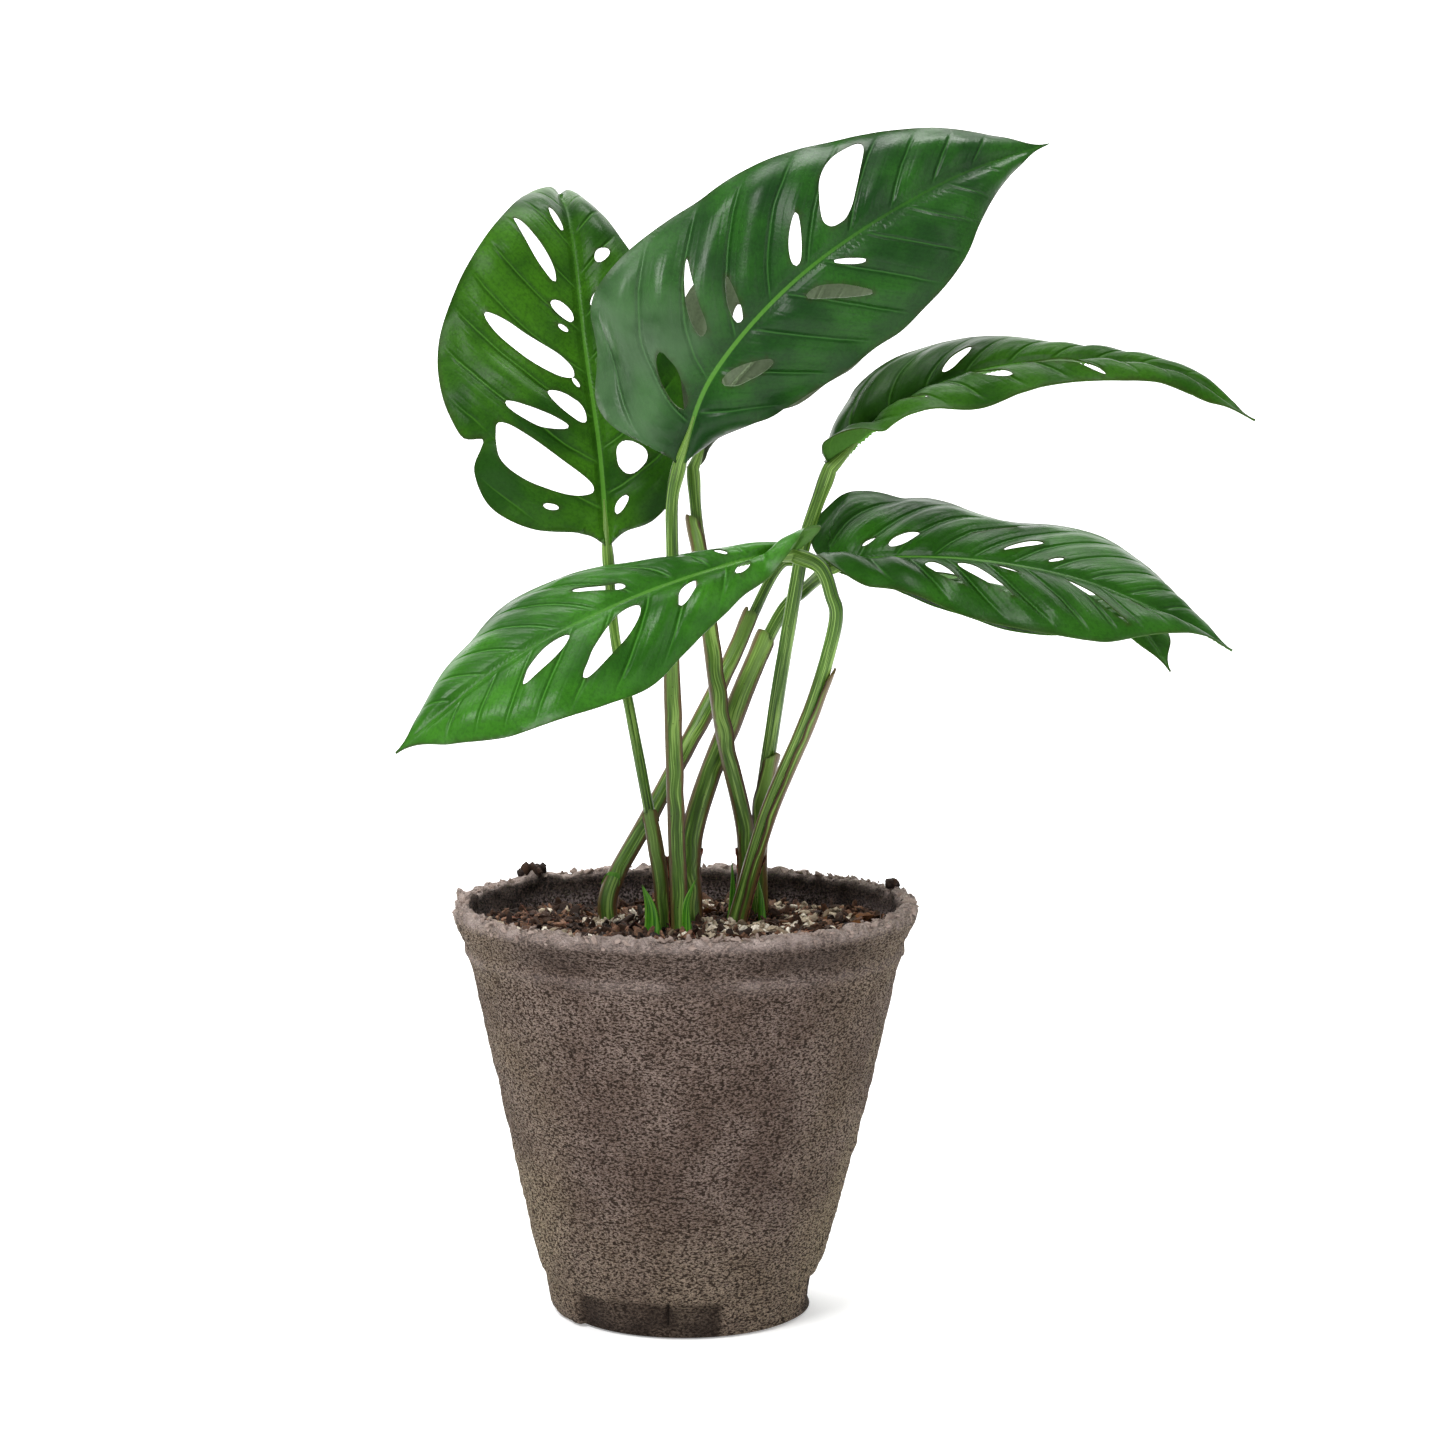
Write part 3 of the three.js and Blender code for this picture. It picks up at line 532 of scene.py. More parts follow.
def fibre_hair_material():
    s = Shader("pot_hairs", 0.9, 0.2)
    return s.finish(s.mix(s.noise(6, 2), (0.12, 0.08, 0.065), (0.42, 0.34, 0.3)))


def crumb_material(name, dark, mid, bright, feature_mm):
    """Bark, peat and perlite: each crumb has its own tone, with grain over it."""
    s = Shader(name, 0.88, 0.3)
    tone = s.attribute("tone")
    colour = s.mix(s.remap(tone, 0.0, 0.55), dark, mid)
    colour = s.mix(s.remap(tone, 0.6, 1.0), colour, bright)
    grain = s.remap(s.noise(feature_mm, 4), 0.38, 0.66)
    colour = s.mix(s.times(grain, 0.55), colour, tuple(0.3 * c for c in mid))
    return s.finish(colour, s.bump(s.noise(feature_mm * 0.7, 4), 0.35, 0.9))


# ---------------------------------------------------------------- leaf blades


class BladeSurface:
    """Bends flat leaf coordinates onto the leaf as the CAD blade is bent, but flatter at the tip."""

    def __init__(self, leaf):
        self.leaf = leaf
        fine = catmull_rom(leaf["midrib"], np.linspace(0, 1, 801))
        run = np.r_[0, np.cumsum(np.linalg.norm(np.diff(fine, axis=0), axis=1))]
        self.length = run[-1]
        self.stations = np.linspace(0, self.length, 401)
        self.line = np.stack([np.interp(self.stations, run, column) for column in fine.T], 1)
        self.tangents = unit(np.gradient(self.line, self.stations, axis=0))

    def sample(self, table, s):
        return np.stack([np.interp(s, self.stations, column) for column in table.T], -1)

    def rise(self, angles, share):
        angles = np.array(angles, float)
        i = np.clip(np.searchsorted(RISE_STATIONS, share, side="left") - 1, 0, len(angles) - 2)
        local = (share - RISE_STATIONS[i]) / (RISE_STATIONS[i + 1] - RISE_STATIONS[i])
        eased = local * local * (3 - 2 * local)
        return np.radians(angles[i] + (angles[i + 1] - angles[i]) * eased)[..., None]

    def half_width(self, v, s):
        left = self.width_of(self.leaf["left"], s)
        right = self.width_of(self.leaf["right"], s)
        return np.where(v > 0, left, right)

    def width_of(self, outline, s):
        route = np.array([(0, 0.1), *outline, (self.length, 0.1)])
        return np.maximum(2, np.interp(s, np.maximum.accumulate(route[:, 0]), route[:, 1]))

    def __call__(self, s, v, w):
        s, v = np.asarray(s, float), np.asarray(v, float)
        inside = np.clip(s, 0, self.length)
        share = inside / self.length
        tangent = unit(self.sample(self.tangents, inside))
        middle = self.sample(self.line, inside) + tangent * (s - inside)[..., None]
        level = unit(np.cross(tangent, (0, 0, 1.0)))
        up = np.cross(level, tangent)
        left, right = self.rise(self.leaf["left_rise"], share), self.rise(self.leaf["right_rise"], share)
        to_left = -level * np.cos(left) + up * np.sin(left)
        to_right = level * np.cos(right) + up * np.sin(right)
        mix = smoothstep(v, -CREASE_WIDTH, CREASE_WIDTH)[..., None]
        face = unit(np.cross(to_right, tangent) * (1 - mix) + np.cross(tangent, to_left) * mix)
        reach = np.minimum(1, abs(v) / self.half_width(v, s))
        swell = BLADE_SWELL * 4 * reach * (1 - reach) * smoothstep(self.length - s, 3, 20)
        sideways = np.where((v > 0)[..., None], to_left, to_right) * abs(v)[..., None]
        return middle + sideways + face * (swell + w)[..., None]


BLADE_THICKNESS = 0.45
PUFF = 1.7
VEIN_COUNT = 11
MARGIN_STEP = 1.2
TREE_STEP = 0.4
VEIN_BEND = 0.013


def vein_lean(share):
    """How far a side vein runs forward for each millimetre outwards."""
    return 0.3 + 1.1 * share


def vein_origin(s, v, length):
    """Where on the midrib the vein through (s, v) starts."""
    origin = s.copy()
    for _ in range(6):
        share = np.clip(origin / length, 0, 1)
        origin = s - abs(v) * vein_lean(share) - VEIN_BEND * v * v
    return origin


def resample(loop, step):
    """The closed outline again, with points at equal steps."""
    closed = np.vstack([loop, loop[:1]])
    run = np.r_[0, np.cumsum(np.linalg.norm(np.diff(closed, axis=0), axis=1))]
    count = max(8, int(run[-1] / step))
    at = np.linspace(0, run[-1], count, endpoint=False)
    return np.stack([np.interp(at, run, column) for column in closed.T], 1)


def blade_outline(leaf, length, seed):
    halves = []
    for key, side in (("right", -1), ("left", 1)):
        route = [(0, 0), *leaf[key], (length, 0)]
        half = catmull_rom(route, np.linspace(0, 1, 260))
        drip = 1 - 0.6 * smoothstep(half[:, 0] / length, 0.9, 0.985)
        half[:, 1] *= side * drip
        halves.append(half)
    loop = np.vstack([halves[0][:-1], halves[1][:0:-1]])
    loop = resample(loop, MARGIN_STEP)
    wave = value_noise(np.c_[loop, np.zeros(len(loop))], 9, seed) * 0.35
    shrink = 1 - wave / np.maximum(6, abs(loop[:, 1]))
    loop[:, 1] *= shrink
    return loop


def hole_outline(hole, seed):
    """A hole between two side veins. A positive skew makes it widest towards the margin."""
    side, along, near, far, width, lean, skew = hole
    middle, half = (near + far) / 2, (far - near) / 2
    angle = np.linspace(0, 2 * np.pi, 60, endpoint=False)
    reach = np.cos(angle)
    blunt = (0.7 if width > 10 else 0.92) - 0.6 * np.maximum(0, skew * reach)
    swell = np.sign(np.sin(angle)) * abs(np.sin(angle)) ** blunt * (1 + skew * reach)
    wobble = 1 + 0.1 * value_noise(np.c_[reach * 2, np.sin(angle) * 2, angle * 0 + seed], 1.1, seed)
    v = middle + half * reach
    bow = 0.012 * (v - middle) ** 2
    s = along + lean * (v - middle) + bow + 0.5 * width * swell * wobble
    return resample(np.c_[s, side * v], min(0.9, width / 3))


def inside_loop(points, loop):
    x, y = points[:, 0][:, None], points[:, 1][:, None]
    x0, y0 = loop[:, 0][None], loop[:, 1][None]
    x1, y1 = np.roll(loop[:, 0], -1)[None], np.roll(loop[:, 1], -1)[None]
    crosses = (y0 > y) != (y1 > y)
    slope = np.where(y1 == y0, 1e-9, y1 - y0)
    left = x < (x1 - x0) * (y - y0) / slope + x0
    return (crosses & left).sum(1) % 2 == 1


def tree_of(points):
    tree = KDTree(len(points))
    for i, (x, y) in enumerate(points):
        tree.insert((x, y, 0), i)
    tree.balance()
    return tree


def distance_to(tree, points):
    return np.array([tree.find((x, y, 0))[2] for x, y in points])


VEIN_STAGGER = 0.15
ROW_SHARES = np.array([-0.11, -0.05, 0, 0.05, 0.11, 0.2, 0.32, 0.44, 0.56, 0.68, 0.8])
MIDRIB_OFFSETS = [0.3, 0.6, 0.95, 1.4, 2.0, 2.9, 4.0]


def vein_grid(surface, loops, spacing):
    """Inner points in rows that follow the veins, so that creases fall on rows."""
    widest = max(w for _, w in surface.leaf["left"] + surface.leaf["right"])
    veins = np.arange(-5, VEIN_COUNT + 1)
    offsets = np.r_[MIDRIB_OFFSETS, np.arange(5.3, widest + 1, 1.4)]
    middle = np.arange(0.8, surface.length, 1.2)
    rows = [np.c_[middle, 0 * middle]]
    for side in (-1, 1):
        origins = ((veins[:, None] + ROW_SHARES).ravel() - VEIN_STAGGER * side) * spacing
        o, out = np.meshgrid(origins, offsets, indexing="ij")
        share = np.clip(o / surface.length, 0, 1)
        s = o + out * vein_lean(share) + VEIN_BEND * out * out
        rows.append(np.c_[s.ravel(), side * out.ravel()])
    points = np.vstack(rows)
    keep = inside_loop(points, loops[0])
    for loop in loops[1:]:
        keep &= ~inside_loop(points, loop)
    points = points[keep]
    clear = distance_to(tree_of(np.vstack([resample(loop, TREE_STEP) for loop in loops])), points)
    on_midrib = points[:, 1] == 0
    return points[clear > np.where(on_midrib, 0.25, 0.45)]


def triangulate(loops, inner):
    points, edges = [], []
    for loop in loops:
        start = len(points)
        points += [Vector(p) for p in loop]
        edges += [(start + i, start + (i + 1) % len(loop)) for i in range(len(loop))]
    points += [Vector(p) for p in inner]
    found = delaunay_2d_cdt(points, edges, [], 0, 1e-4)
    flat = np.array([tuple(p) for p in found[0]])
    faces = np.array(found[2])
    centres = flat[faces].mean(1)
    keep = inside_loop(centres, loops[0])
    for loop in loops[1:]:
        keep &= ~inside_loop(centres, loop)
    faces = faces[keep]
    used, faces = np.unique(faces, return_inverse=True)
    faces = faces.reshape(-1, 3)
    flat = flat[used]
    a, b, c = flat[faces[:, 0]], flat[faces[:, 1]], flat[faces[:, 2]]
    area = (b[:, 0] - a[:, 0]) * (c[:, 1] - a[:, 1]) - (b[:, 1] - a[:, 1]) * (c[:, 0] - a[:, 0])
    faces[area < 0] = faces[area < 0][:, ::-1]
    return flat, faces


def rim_edges(faces):
    """Directed edges that only one triangle uses."""
    edges = np.vstack([faces[:, [0, 1]], faces[:, [1, 2]], faces[:, [2, 0]]])
    have = set(map(tuple, edges))
    return [(a, b) for a, b in have if (b, a) not in have]


def make_blade(leaf, seed):
    surface = BladeSurface(leaf)
    length = surface.length
    spacing = length / VEIN_COUNT
    loops = [blade_outline(leaf, length, seed)]
    loops += [hole_outline(hole, seed + i) for i, hole in enumerate(leaf["holes"])]
    flat, faces = triangulate(loops, vein_grid(surface, loops, spacing))
    s, v = flat[:, 0], flat[:, 1]
    origin = vein_origin(s, v, length)
    place = origin / spacing + VEIN_STAGGER * np.sign(v)
    from_vein = abs(place - np.round(place))
    edge_gap = distance_to(tree_of(np.vstack([resample(loop, TREE_STEP) for loop in loops])), flat)
    outer_gap = distance_to(tree_of(resample(loops[0], TREE_STEP)), flat)
    flat3 = np.c_[flat, np.zeros(len(flat))]
    calm = smoothstep(outer_gap, 0.3, 7) * smoothstep(abs(v), 0.3, 6)
    before_tip = smoothstep(length - s, 2, 14)
    # painted sheen: the left part of the front leaf is painted a lighter grey-green, standing in for the
    # broad sheen of the light there
    sheen_and_bloom = 0 * s
    if leaf["name"] == "top_front":
        sheen_and_bloom = 0.55 * smoothstep(v, 1, 10) * (1 - smoothstep(s, 22, 52))
    hole_lift = 0.35 * bell(edge_gap, 1.1) * smoothstep(outer_gap, 2, 5)
    fullness = (0.85 + 0.6 * value_noise(flat3, 15, seed + 5)) * (1 - 0.65 * np.clip(s / length, 0, 1))
    crown = 0.5 - 0.5 * np.cos(2 * np.pi * from_vein)
    quilt = PUFF * calm * fullness * (0.6 * crown + 0.4 * np.sqrt(crown))
    reach = np.minimum(1, abs(v) / surface.half_width(v, s))
    flutter = 1.2 * reach**2 * value_noise(flat3, 16, seed + 11) + 0.06 * value_noise(flat3, 3.6, seed + 13)
    flutter *= smoothstep(abs(v), 1, 8)
    taper = np.clip(1 - s / length, 0.1, 1)
    midrib_half = 0.18 + 0.42 * taper
    channel = 0.3 * bell(v, midrib_half + 0.5) - 0.2 * bell(v, 0.6 * midrib_half)
    relief = (quilt + flutter + hole_lift) * before_tip
    keel = (0.2 + 0.9 * taper) * bell(v, midrib_half)
    top = surface(s, v, BLADE_THICKNESS / 2 + relief - channel)
    bottom = surface(s, v, -BLADE_THICKNESS / 2 + relief - channel * 0.5 - keel)
    count = len(flat)
    shell = [tuple(face) for face in faces]
    shell += [tuple(face[::-1] + count) for face in faces]
    shell += [(a + count, b + count, b, a) for a, b in rim_edges(faces)]
    line_strength = smoothstep(outer_gap, 0.5, 7) * smoothstep(abs(v), 0.5, 2.5)
    attributes = {
        "vein_phase": np.tile(place, 2),
        "calm": np.tile(line_strength * before_tip, 2),
        "sheen_and_bloom": np.tile(sheen_and_bloom, 2),
        "across": np.tile(v, 2),
        "midrib_half": np.tile(midrib_half, 2),
        "midrib": np.tile(1 - 0.85 * smoothstep(s / length, 0.25, 0.7), 2),
        "margin": np.tile(np.exp(-edge_gap / 0.22), 2),
        "under": np.r_[np.zeros(count), np.ones(count)],
    }
    points = np.vstack([top, bottom]) + (0, 0, SOIL_TOP)
    piece = make_piece("blade_" + leaf["name"], points, shell, blade_material(leaf, spacing), attributes)
    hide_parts("leaf_" + leaf["name"])


# ---------------------------------------------------------------- stalks and shoots

STALK_SIDES = 28
STRIP_COLUMNS = 17


def make_strip(line, frames, start, end, radius, centre_angle, span, wall, seed, tongue=2.5):
    """Part of a tube that clasps the stalk. Its long edges are thin and its top is a torn tongue."""
    tangent, side, up = frames
    rows = end - start
    across = np.linspace(-0.5, 0.5, STRIP_COLUMNS)
    rounded = -tongue * (2 * abs(across)) ** 3
    tear = 0.9 * value_noise(np.c_[across * 9, across * 0 + seed, across * 0], 1.3, seed)
    edge_share = smoothstep(abs(across), 0.4, 0.47)
    points, edge, rows_of = [], [], []
    for layer in (0, 1):
        for row in range(start, end):
            share = (row - start) / (rows - 1)
            close = 1 - 0.3 * smoothstep(share, 0.7, 1)
            wander = 0.05 * value_noise(np.array([row / 6.0, seed, 0]), 1, seed)
            angle = centre_angle + (across + wander) * span * close
            thin = wall * (1 - 0.55 * edge_share)
            flare = radius + layer * thin + 0.35 * smoothstep(share, 0.9, 1) + 0.16 * edge_share
            ring = line[row] + np.cos(angle)[:, None] * flare[:, None] * side[row]
            ring = ring + np.sin(angle)[:, None] * flare[:, None] * up[row]
            lift = (rounded + tear) * smoothstep(share, 0.9, 1)
            points.append(ring + tangent[row] * lift[:, None])
            edge.append(np.maximum(edge_share, 0.4 * smoothstep(share, 0.985, 1)))
            rows_of.append(np.full(STRIP_COLUMNS, row))
    faces = []
    size = rows * STRIP_COLUMNS
    for r in range(rows - 1):
        for c in range(STRIP_COLUMNS - 1):
            i = r * STRIP_COLUMNS + c
            j = i + size
            faces.append((i, i + STRIP_COLUMNS, i + STRIP_COLUMNS + 1, i + 1))
            faces.append((j, j + 1, j + STRIP_COLUMNS + 1, j + STRIP_COLUMNS))
        i, j = r * STRIP_COLUMNS, (r + 1) * STRIP_COLUMNS - 1
        faces.append((i, i + size, i + size + STRIP_COLUMNS, i + STRIP_COLUMNS))
        faces.append((j, j + STRIP_COLUMNS, j + size + STRIP_COLUMNS, j + size))
    for c in range(STRIP_COLUMNS - 1):
        j = (rows - 1) * STRIP_COLUMNS + c
        faces.append((c, c + 1, c + 1 + size, c + size))
        faces.append((j, j + size, j + 1 + size, j + 1))
    return np.vstack(points), faces, np.concatenate(edge), np.concatenate(rows_of)


def strip_around(count):
    return np.tile(np.linspace(-1, 1, STRIP_COLUMNS), count // STRIP_COLUMNS)


MIDRIB_OVERLAP = 13
SHEATH_EXTRA = {"right_lower": 0.55, "back_middle": 0.3, "right_back": 0.4, "right_upper": 0.2}


def make_stalk(leaf, seed):
    foot = np.array(leaf["path"][0], float) - (0, 0, ROOT_DEPTH)
    surface = BladeSurface(leaf)
    line, at = evenly_spaced([foot, *leaf["path"]], 150)
    stalk_length = at[-1]
    # the stalk runs on under the blade and thins into its midrib
    on_blade = surface.stations < MIDRIB_OVERLAP
    steps = np.linspace(1.0, MIDRIB_OVERLAP, 14)
    columns = surface.line[on_blade].T
    midrib = np.stack([np.interp(steps, surface.stations[on_blade], c) for c in columns], 1)
    line = np.vstack([line, midrib])
    at = np.r_[at, stalk_length + steps]
    frames = path_frames(line)
    _, side, up = frames
    sheath_row = int(np.argmax(line[:, 2] >= leaf["sheath"]))
    share = np.minimum(1, at / stalk_length)
    thinning = 1 - 0.82 * smoothstep(at, stalk_length - 1, at[-1] + 1)
    knee = 0.3 * bell(at - stalk_length + 3, 4)
    foot_swell = 0.2 * (1 - smoothstep(line[:, 2], 0, 9))
    bare = leaf["radius"] * (1.06 - 0.14 * share) * thinning + knee + foot_swell
    angle = np.linspace(0, 2 * np.pi, STALK_SIDES, endpoint=False)
    ring = np.stack([np.cos(angle), np.sin(angle)], 1)
    turn = math.radians(leaf["sheath_turn"])
    points = []
    for i in range(len(line)):
        ridge = 1 + 0.03 * value_noise(np.c_[ring * 1.2, np.full(len(ring), at[i] / 7)], 1, seed)
        ridge = ridge + 0.025 * np.cos(9 * angle)
        radial = bare[i] * ridge
        points.append(line[i] + radial[:, None] * (ring[:, :1] * side[i] + ring[:, 1:] * up[i]))
    points = np.vstack(points)
    total = len(line)
    faces = tube_faces(total, STALK_SIDES)
    low = 1 - smoothstep(np.repeat(line[:, 2], STALK_SIDES), 0, 10)
    # painted shade: the shaded side of the stalk below the sheath top is painted dark brown
    shaded_side = smoothstep(np.tile(np.cos(angle - turn - 1.75), total), 0.55, 0.9)
    height = np.repeat(line[:, 2], STALK_SIDES)
    across = np.tile(ring[:, 0], total)
    sheathed = 1 - smoothstep(height, leaf["sheath"] - 14, leaf["sheath"] + 4)
    both_sides = np.maximum(smoothstep(across, 0.55, 0.75), 0.8 * smoothstep(-across, 0.74, 0.9))
    # painted highlight: a lighter stripe down one side of each stalk
    painted_highlight_stripe = 0.75 * bell(across + 0.35, 0.2)
    blade_end = 0.45 * smoothstep(np.repeat(at, STALK_SIDES), stalk_length - 8, stalk_length + 2)
    attributes = {
        "brown": np.maximum(0.25 * low, 0.35 * shaded_side * (height < leaf["sheath"])),
        "reddish": 0.85 * both_sides * sheathed,
        "pale": np.maximum(blade_end, painted_highlight_stripe * (0.25 + 0.75 * sheathed)),
        "along": np.repeat(at, STALK_SIDES),
        "around": across,
    }
    strip_radius = leaf["radius"] * 1.04 + 0.1 + SHEATH_EXTRA.get(leaf["name"], 0)
    span = math.radians(leaf["sheath_span"])
    strip, strip_faces, strip_edge, strip_rows = make_strip(
        line, frames, 2, sheath_row + 1, strip_radius, turn, span, SHEATH_WALL, seed
    )
    strip_at = at[strip_rows]
    faces += [tuple(i + len(points) for i in face) for face in strip_faces]
    strip_across = strip_around(len(strip))
    strip_side = np.sum((strip - line[strip_rows]) * side[strip_rows], axis=1) / strip_radius
    strip_red = 0.7 * smoothstep(abs(strip_across), 0.78, 0.92)
    strip_red = np.maximum(strip_red, 0.8 * smoothstep(strip_side, 0.62, 0.8))
    strip_red = np.maximum(strip_red, 0.75 * smoothstep(-strip_side, 0.78, 0.92))
    strip_values = {
        "brown": strip_edge,
        "reddish": strip_red,
        "pale": 0.25 + 0.6 * smoothstep(strip_at, at[sheath_row] - 30, at[sheath_row]),
        "along": strip_at,
        "around": strip_across,
    }
    attributes = {key: np.r_[values, strip_values[key]] for key, values in attributes.items()}
    points = np.vstack([points, strip]) + (0, 0, SOIL_TOP)
    piece = make_piece("stem_" + leaf["name"], points, faces, STALK_MATERIAL, attributes, 60)
    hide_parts("stalk_" + leaf["name"])
    return line, frames


def make_green_collar(name, line, frames, top_mm, radius, turn, span, seed):
    """A short fresh sheath round a stalk's foot, torn pale at the top."""
    end = int(np.argmax(line[:, 2] >= top_mm))
    turn, span = math.radians(turn), math.radians(span)
    points, faces, edge, rows = make_strip(line, frames, 2, end, radius, turn, span, 0.45, seed, 3.5)
    share = (rows - 2) / (end - 3)
    attributes = {
        "brown": 0.25 * edge,
        "pale": smoothstep(share, 0.93, 1) + 0.2,
        "along": rows.astype(float),
        "around": strip_around(len(points)),
    }
    piece = make_piece(name, points + (0, 0, SOIL_TOP), faces, SHOOT_MATERIAL, attributes, 60)


def make_husk(name, line, frames, top_mm, radius, turn, span, seed):
    """A dry brown scrap of an old sheath, still clasping a stalk's foot."""
    rows = int(np.argmax(line[:, 2] >= top_mm))
    start = int(np.argmax(line[:, 2] >= -1))
    turn, span = math.radians(turn), math.radians(span)
    points, faces, _, _ = make_strip(line, frames, start, rows, radius, turn, span, 0.25, seed, 0.5)
    ragged = value_noise(points, 1.6, seed + 3) * smoothstep(points[:, 2], top_mm - 6, top_mm)
    crumple = value_noise(points, 3.5, seed + 4) * 0.35
    points = points + crumple[:, None] * (0.7, 0.7, 0.2) + ragged[:, None] * (0.15, 0.15, 1)
    piece = make_piece(name, points + (0, 0, SOIL_TOP), faces, HUSK_MATERIAL, None, 60)


def make_shoot(shoot):
    foot = np.array([*shoot["foot"], -ROOT_DEPTH], float)
    ground = np.array([*shoot["foot"], 0], float)
    tip = np.array(shoot["tip"], float)
    middle = ground + (tip - ground) * 0.55 + (shoot["curl"], 0, 0)
    line, at = evenly_spaced([foot, ground, middle, tip], 44)
    _, side, up = path_frames(line)
    share = at / at[-1]
    radius = shoot["radius"] * (1.02 - 0.25 * smoothstep(share, 0.2, 0.5))
    radius = np.maximum(radius * (1 - smoothstep(share, 0.42, 1.06)) ** 0.7, 0.12)
    sides = 24
    angle = np.linspace(0, 2 * np.pi, sides, endpoint=False)
    points = []
    fold = 0.16 * bell(angle_gap(angle, 4.2), 0.28)
    for i in range(len(line)):
        twist = angle + 0.9 * share[i]
        ring = radius[i] * (1 - fold)
        outward = np.cos(twist)[:, None] * side[i] + np.sin(twist)[:, None] * up[i]
        points.append(line[i] + ring[:, None] * outward)
    total = len(line)
    brown = 0.5 * smoothstep(share, 0.93, 1) + 0.15 * (1 - smoothstep(share, 0.2, 0.4))
    attributes = {
        "brown": np.repeat(brown, sides),
        "pale": np.repeat(0.5 * smoothstep(share, 0.6, 1), sides),
        "along": np.repeat(at, sides),
        "around": np.tile(np.cos(angle), total),
    }
    points = np.vstack(points) + (0, 0, SOIL_TOP)
    faces = tube_faces(total, sides)
    piece = make_piece("shoot_" + shoot["name"], points, faces, SHOOT_MATERIAL, attributes, 60)
    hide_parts(shoot["name"])


# ---------------------------------------------------------------- pot

COLLAR_BOTTOM = POT_HEIGHT - 12.5
SHOULDER_RADIUS = RIM_RADIUS - 4
STEP_RADIUS = 36.7
FOOT_RADIUS = 34.2
FOOT_HEIGHT = 12
WALL = 3
FLOOR = 4
POT_COLUMNS = 420
RECESSES = 3
FIRST_RECESS = math.radians(253)
FIRST_BURIED_ROW = 22
COARSE_STEP = 6
FINE_STEP = 0.85


def pot_profile():
    """The section as (radius, height), from under the middle, up the outside and down the inside."""
    rim = RIM_RADIUS - 0.4
    corners = [
        (0, 0), (10, 0), (20, 0), (FOOT_RADIUS - 5, 0), (FOOT_RADIUS - 2.6, 0.4), (FOOT_RADIUS - 0.5, 2.2),
        (FOOT_RADIUS + 0.5, 6), (FOOT_RADIUS + 1, FOOT_HEIGHT - 2), (STEP_RADIUS - 0.4, FOOT_HEIGHT + 0.4),
        (STEP_RADIUS + 0.8, FOOT_HEIGHT + 4), (STEP_RADIUS + 6.7, 40), (STEP_RADIUS + 13.4, 68),
        (SHOULDER_RADIUS - 0.8, COLLAR_BOTTOM - 3.4), (SHOULDER_RADIUS + 0.6, COLLAR_BOTTOM - 0.4),
        (SHOULDER_RADIUS + 0.7, COLLAR_BOTTOM + 2.6), (rim - 1.6, COLLAR_BOTTOM + 5),
        (rim, COLLAR_BOTTOM + 8.5), (rim - 0.2, POT_HEIGHT - 1.2), (rim - 1.2, POT_HEIGHT - 0.3),
        (rim - 3.4, POT_HEIGHT - 0.5), (rim - 4.3, POT_HEIGHT - 1.6), (rim - 4.9, POT_HEIGHT - 5),
        (SHOULDER_RADIUS - WALL, COLLAR_BOTTOM - 2),
        (SHOULDER_RADIUS - WALL - 6, 60), (STEP_RADIUS - WALL, 16), (FOOT_RADIUS - WALL, FLOOR + 2),
        (FOOT_RADIUS - WALL - 2, FLOOR), (15, FLOOR), (0, FLOOR),
    ]
    corners = np.array(corners, float)
    rows = []
    for i in range(len(corners) - 1):
        gap = np.linalg.norm(corners[i + 1] - corners[i])
        hidden = i >= FIRST_BURIED_ROW or corners[i + 1][1] <= 0
        steps = max(1, round(gap / (COARSE_STEP if hidden else FINE_STEP)))
        rows += [i + k / steps for k in range(steps)]
    rows.append(len(corners) - 1)
    return catmull_rom(corners, np.array(rows) / (len(corners) - 1)), np.array(rows)


OUTSIDE_ROWS = 18
RIM_INNER_ROW = 19.2
# low lumps on the rim: place round it, width (both in radians) and height
RIM_LUMPS = ((2.36, 0.07, 1.9), (0.25, 0.05, 1.4), (1.75, 0.04, 1.2), (3.0, 0.04, 1.2))


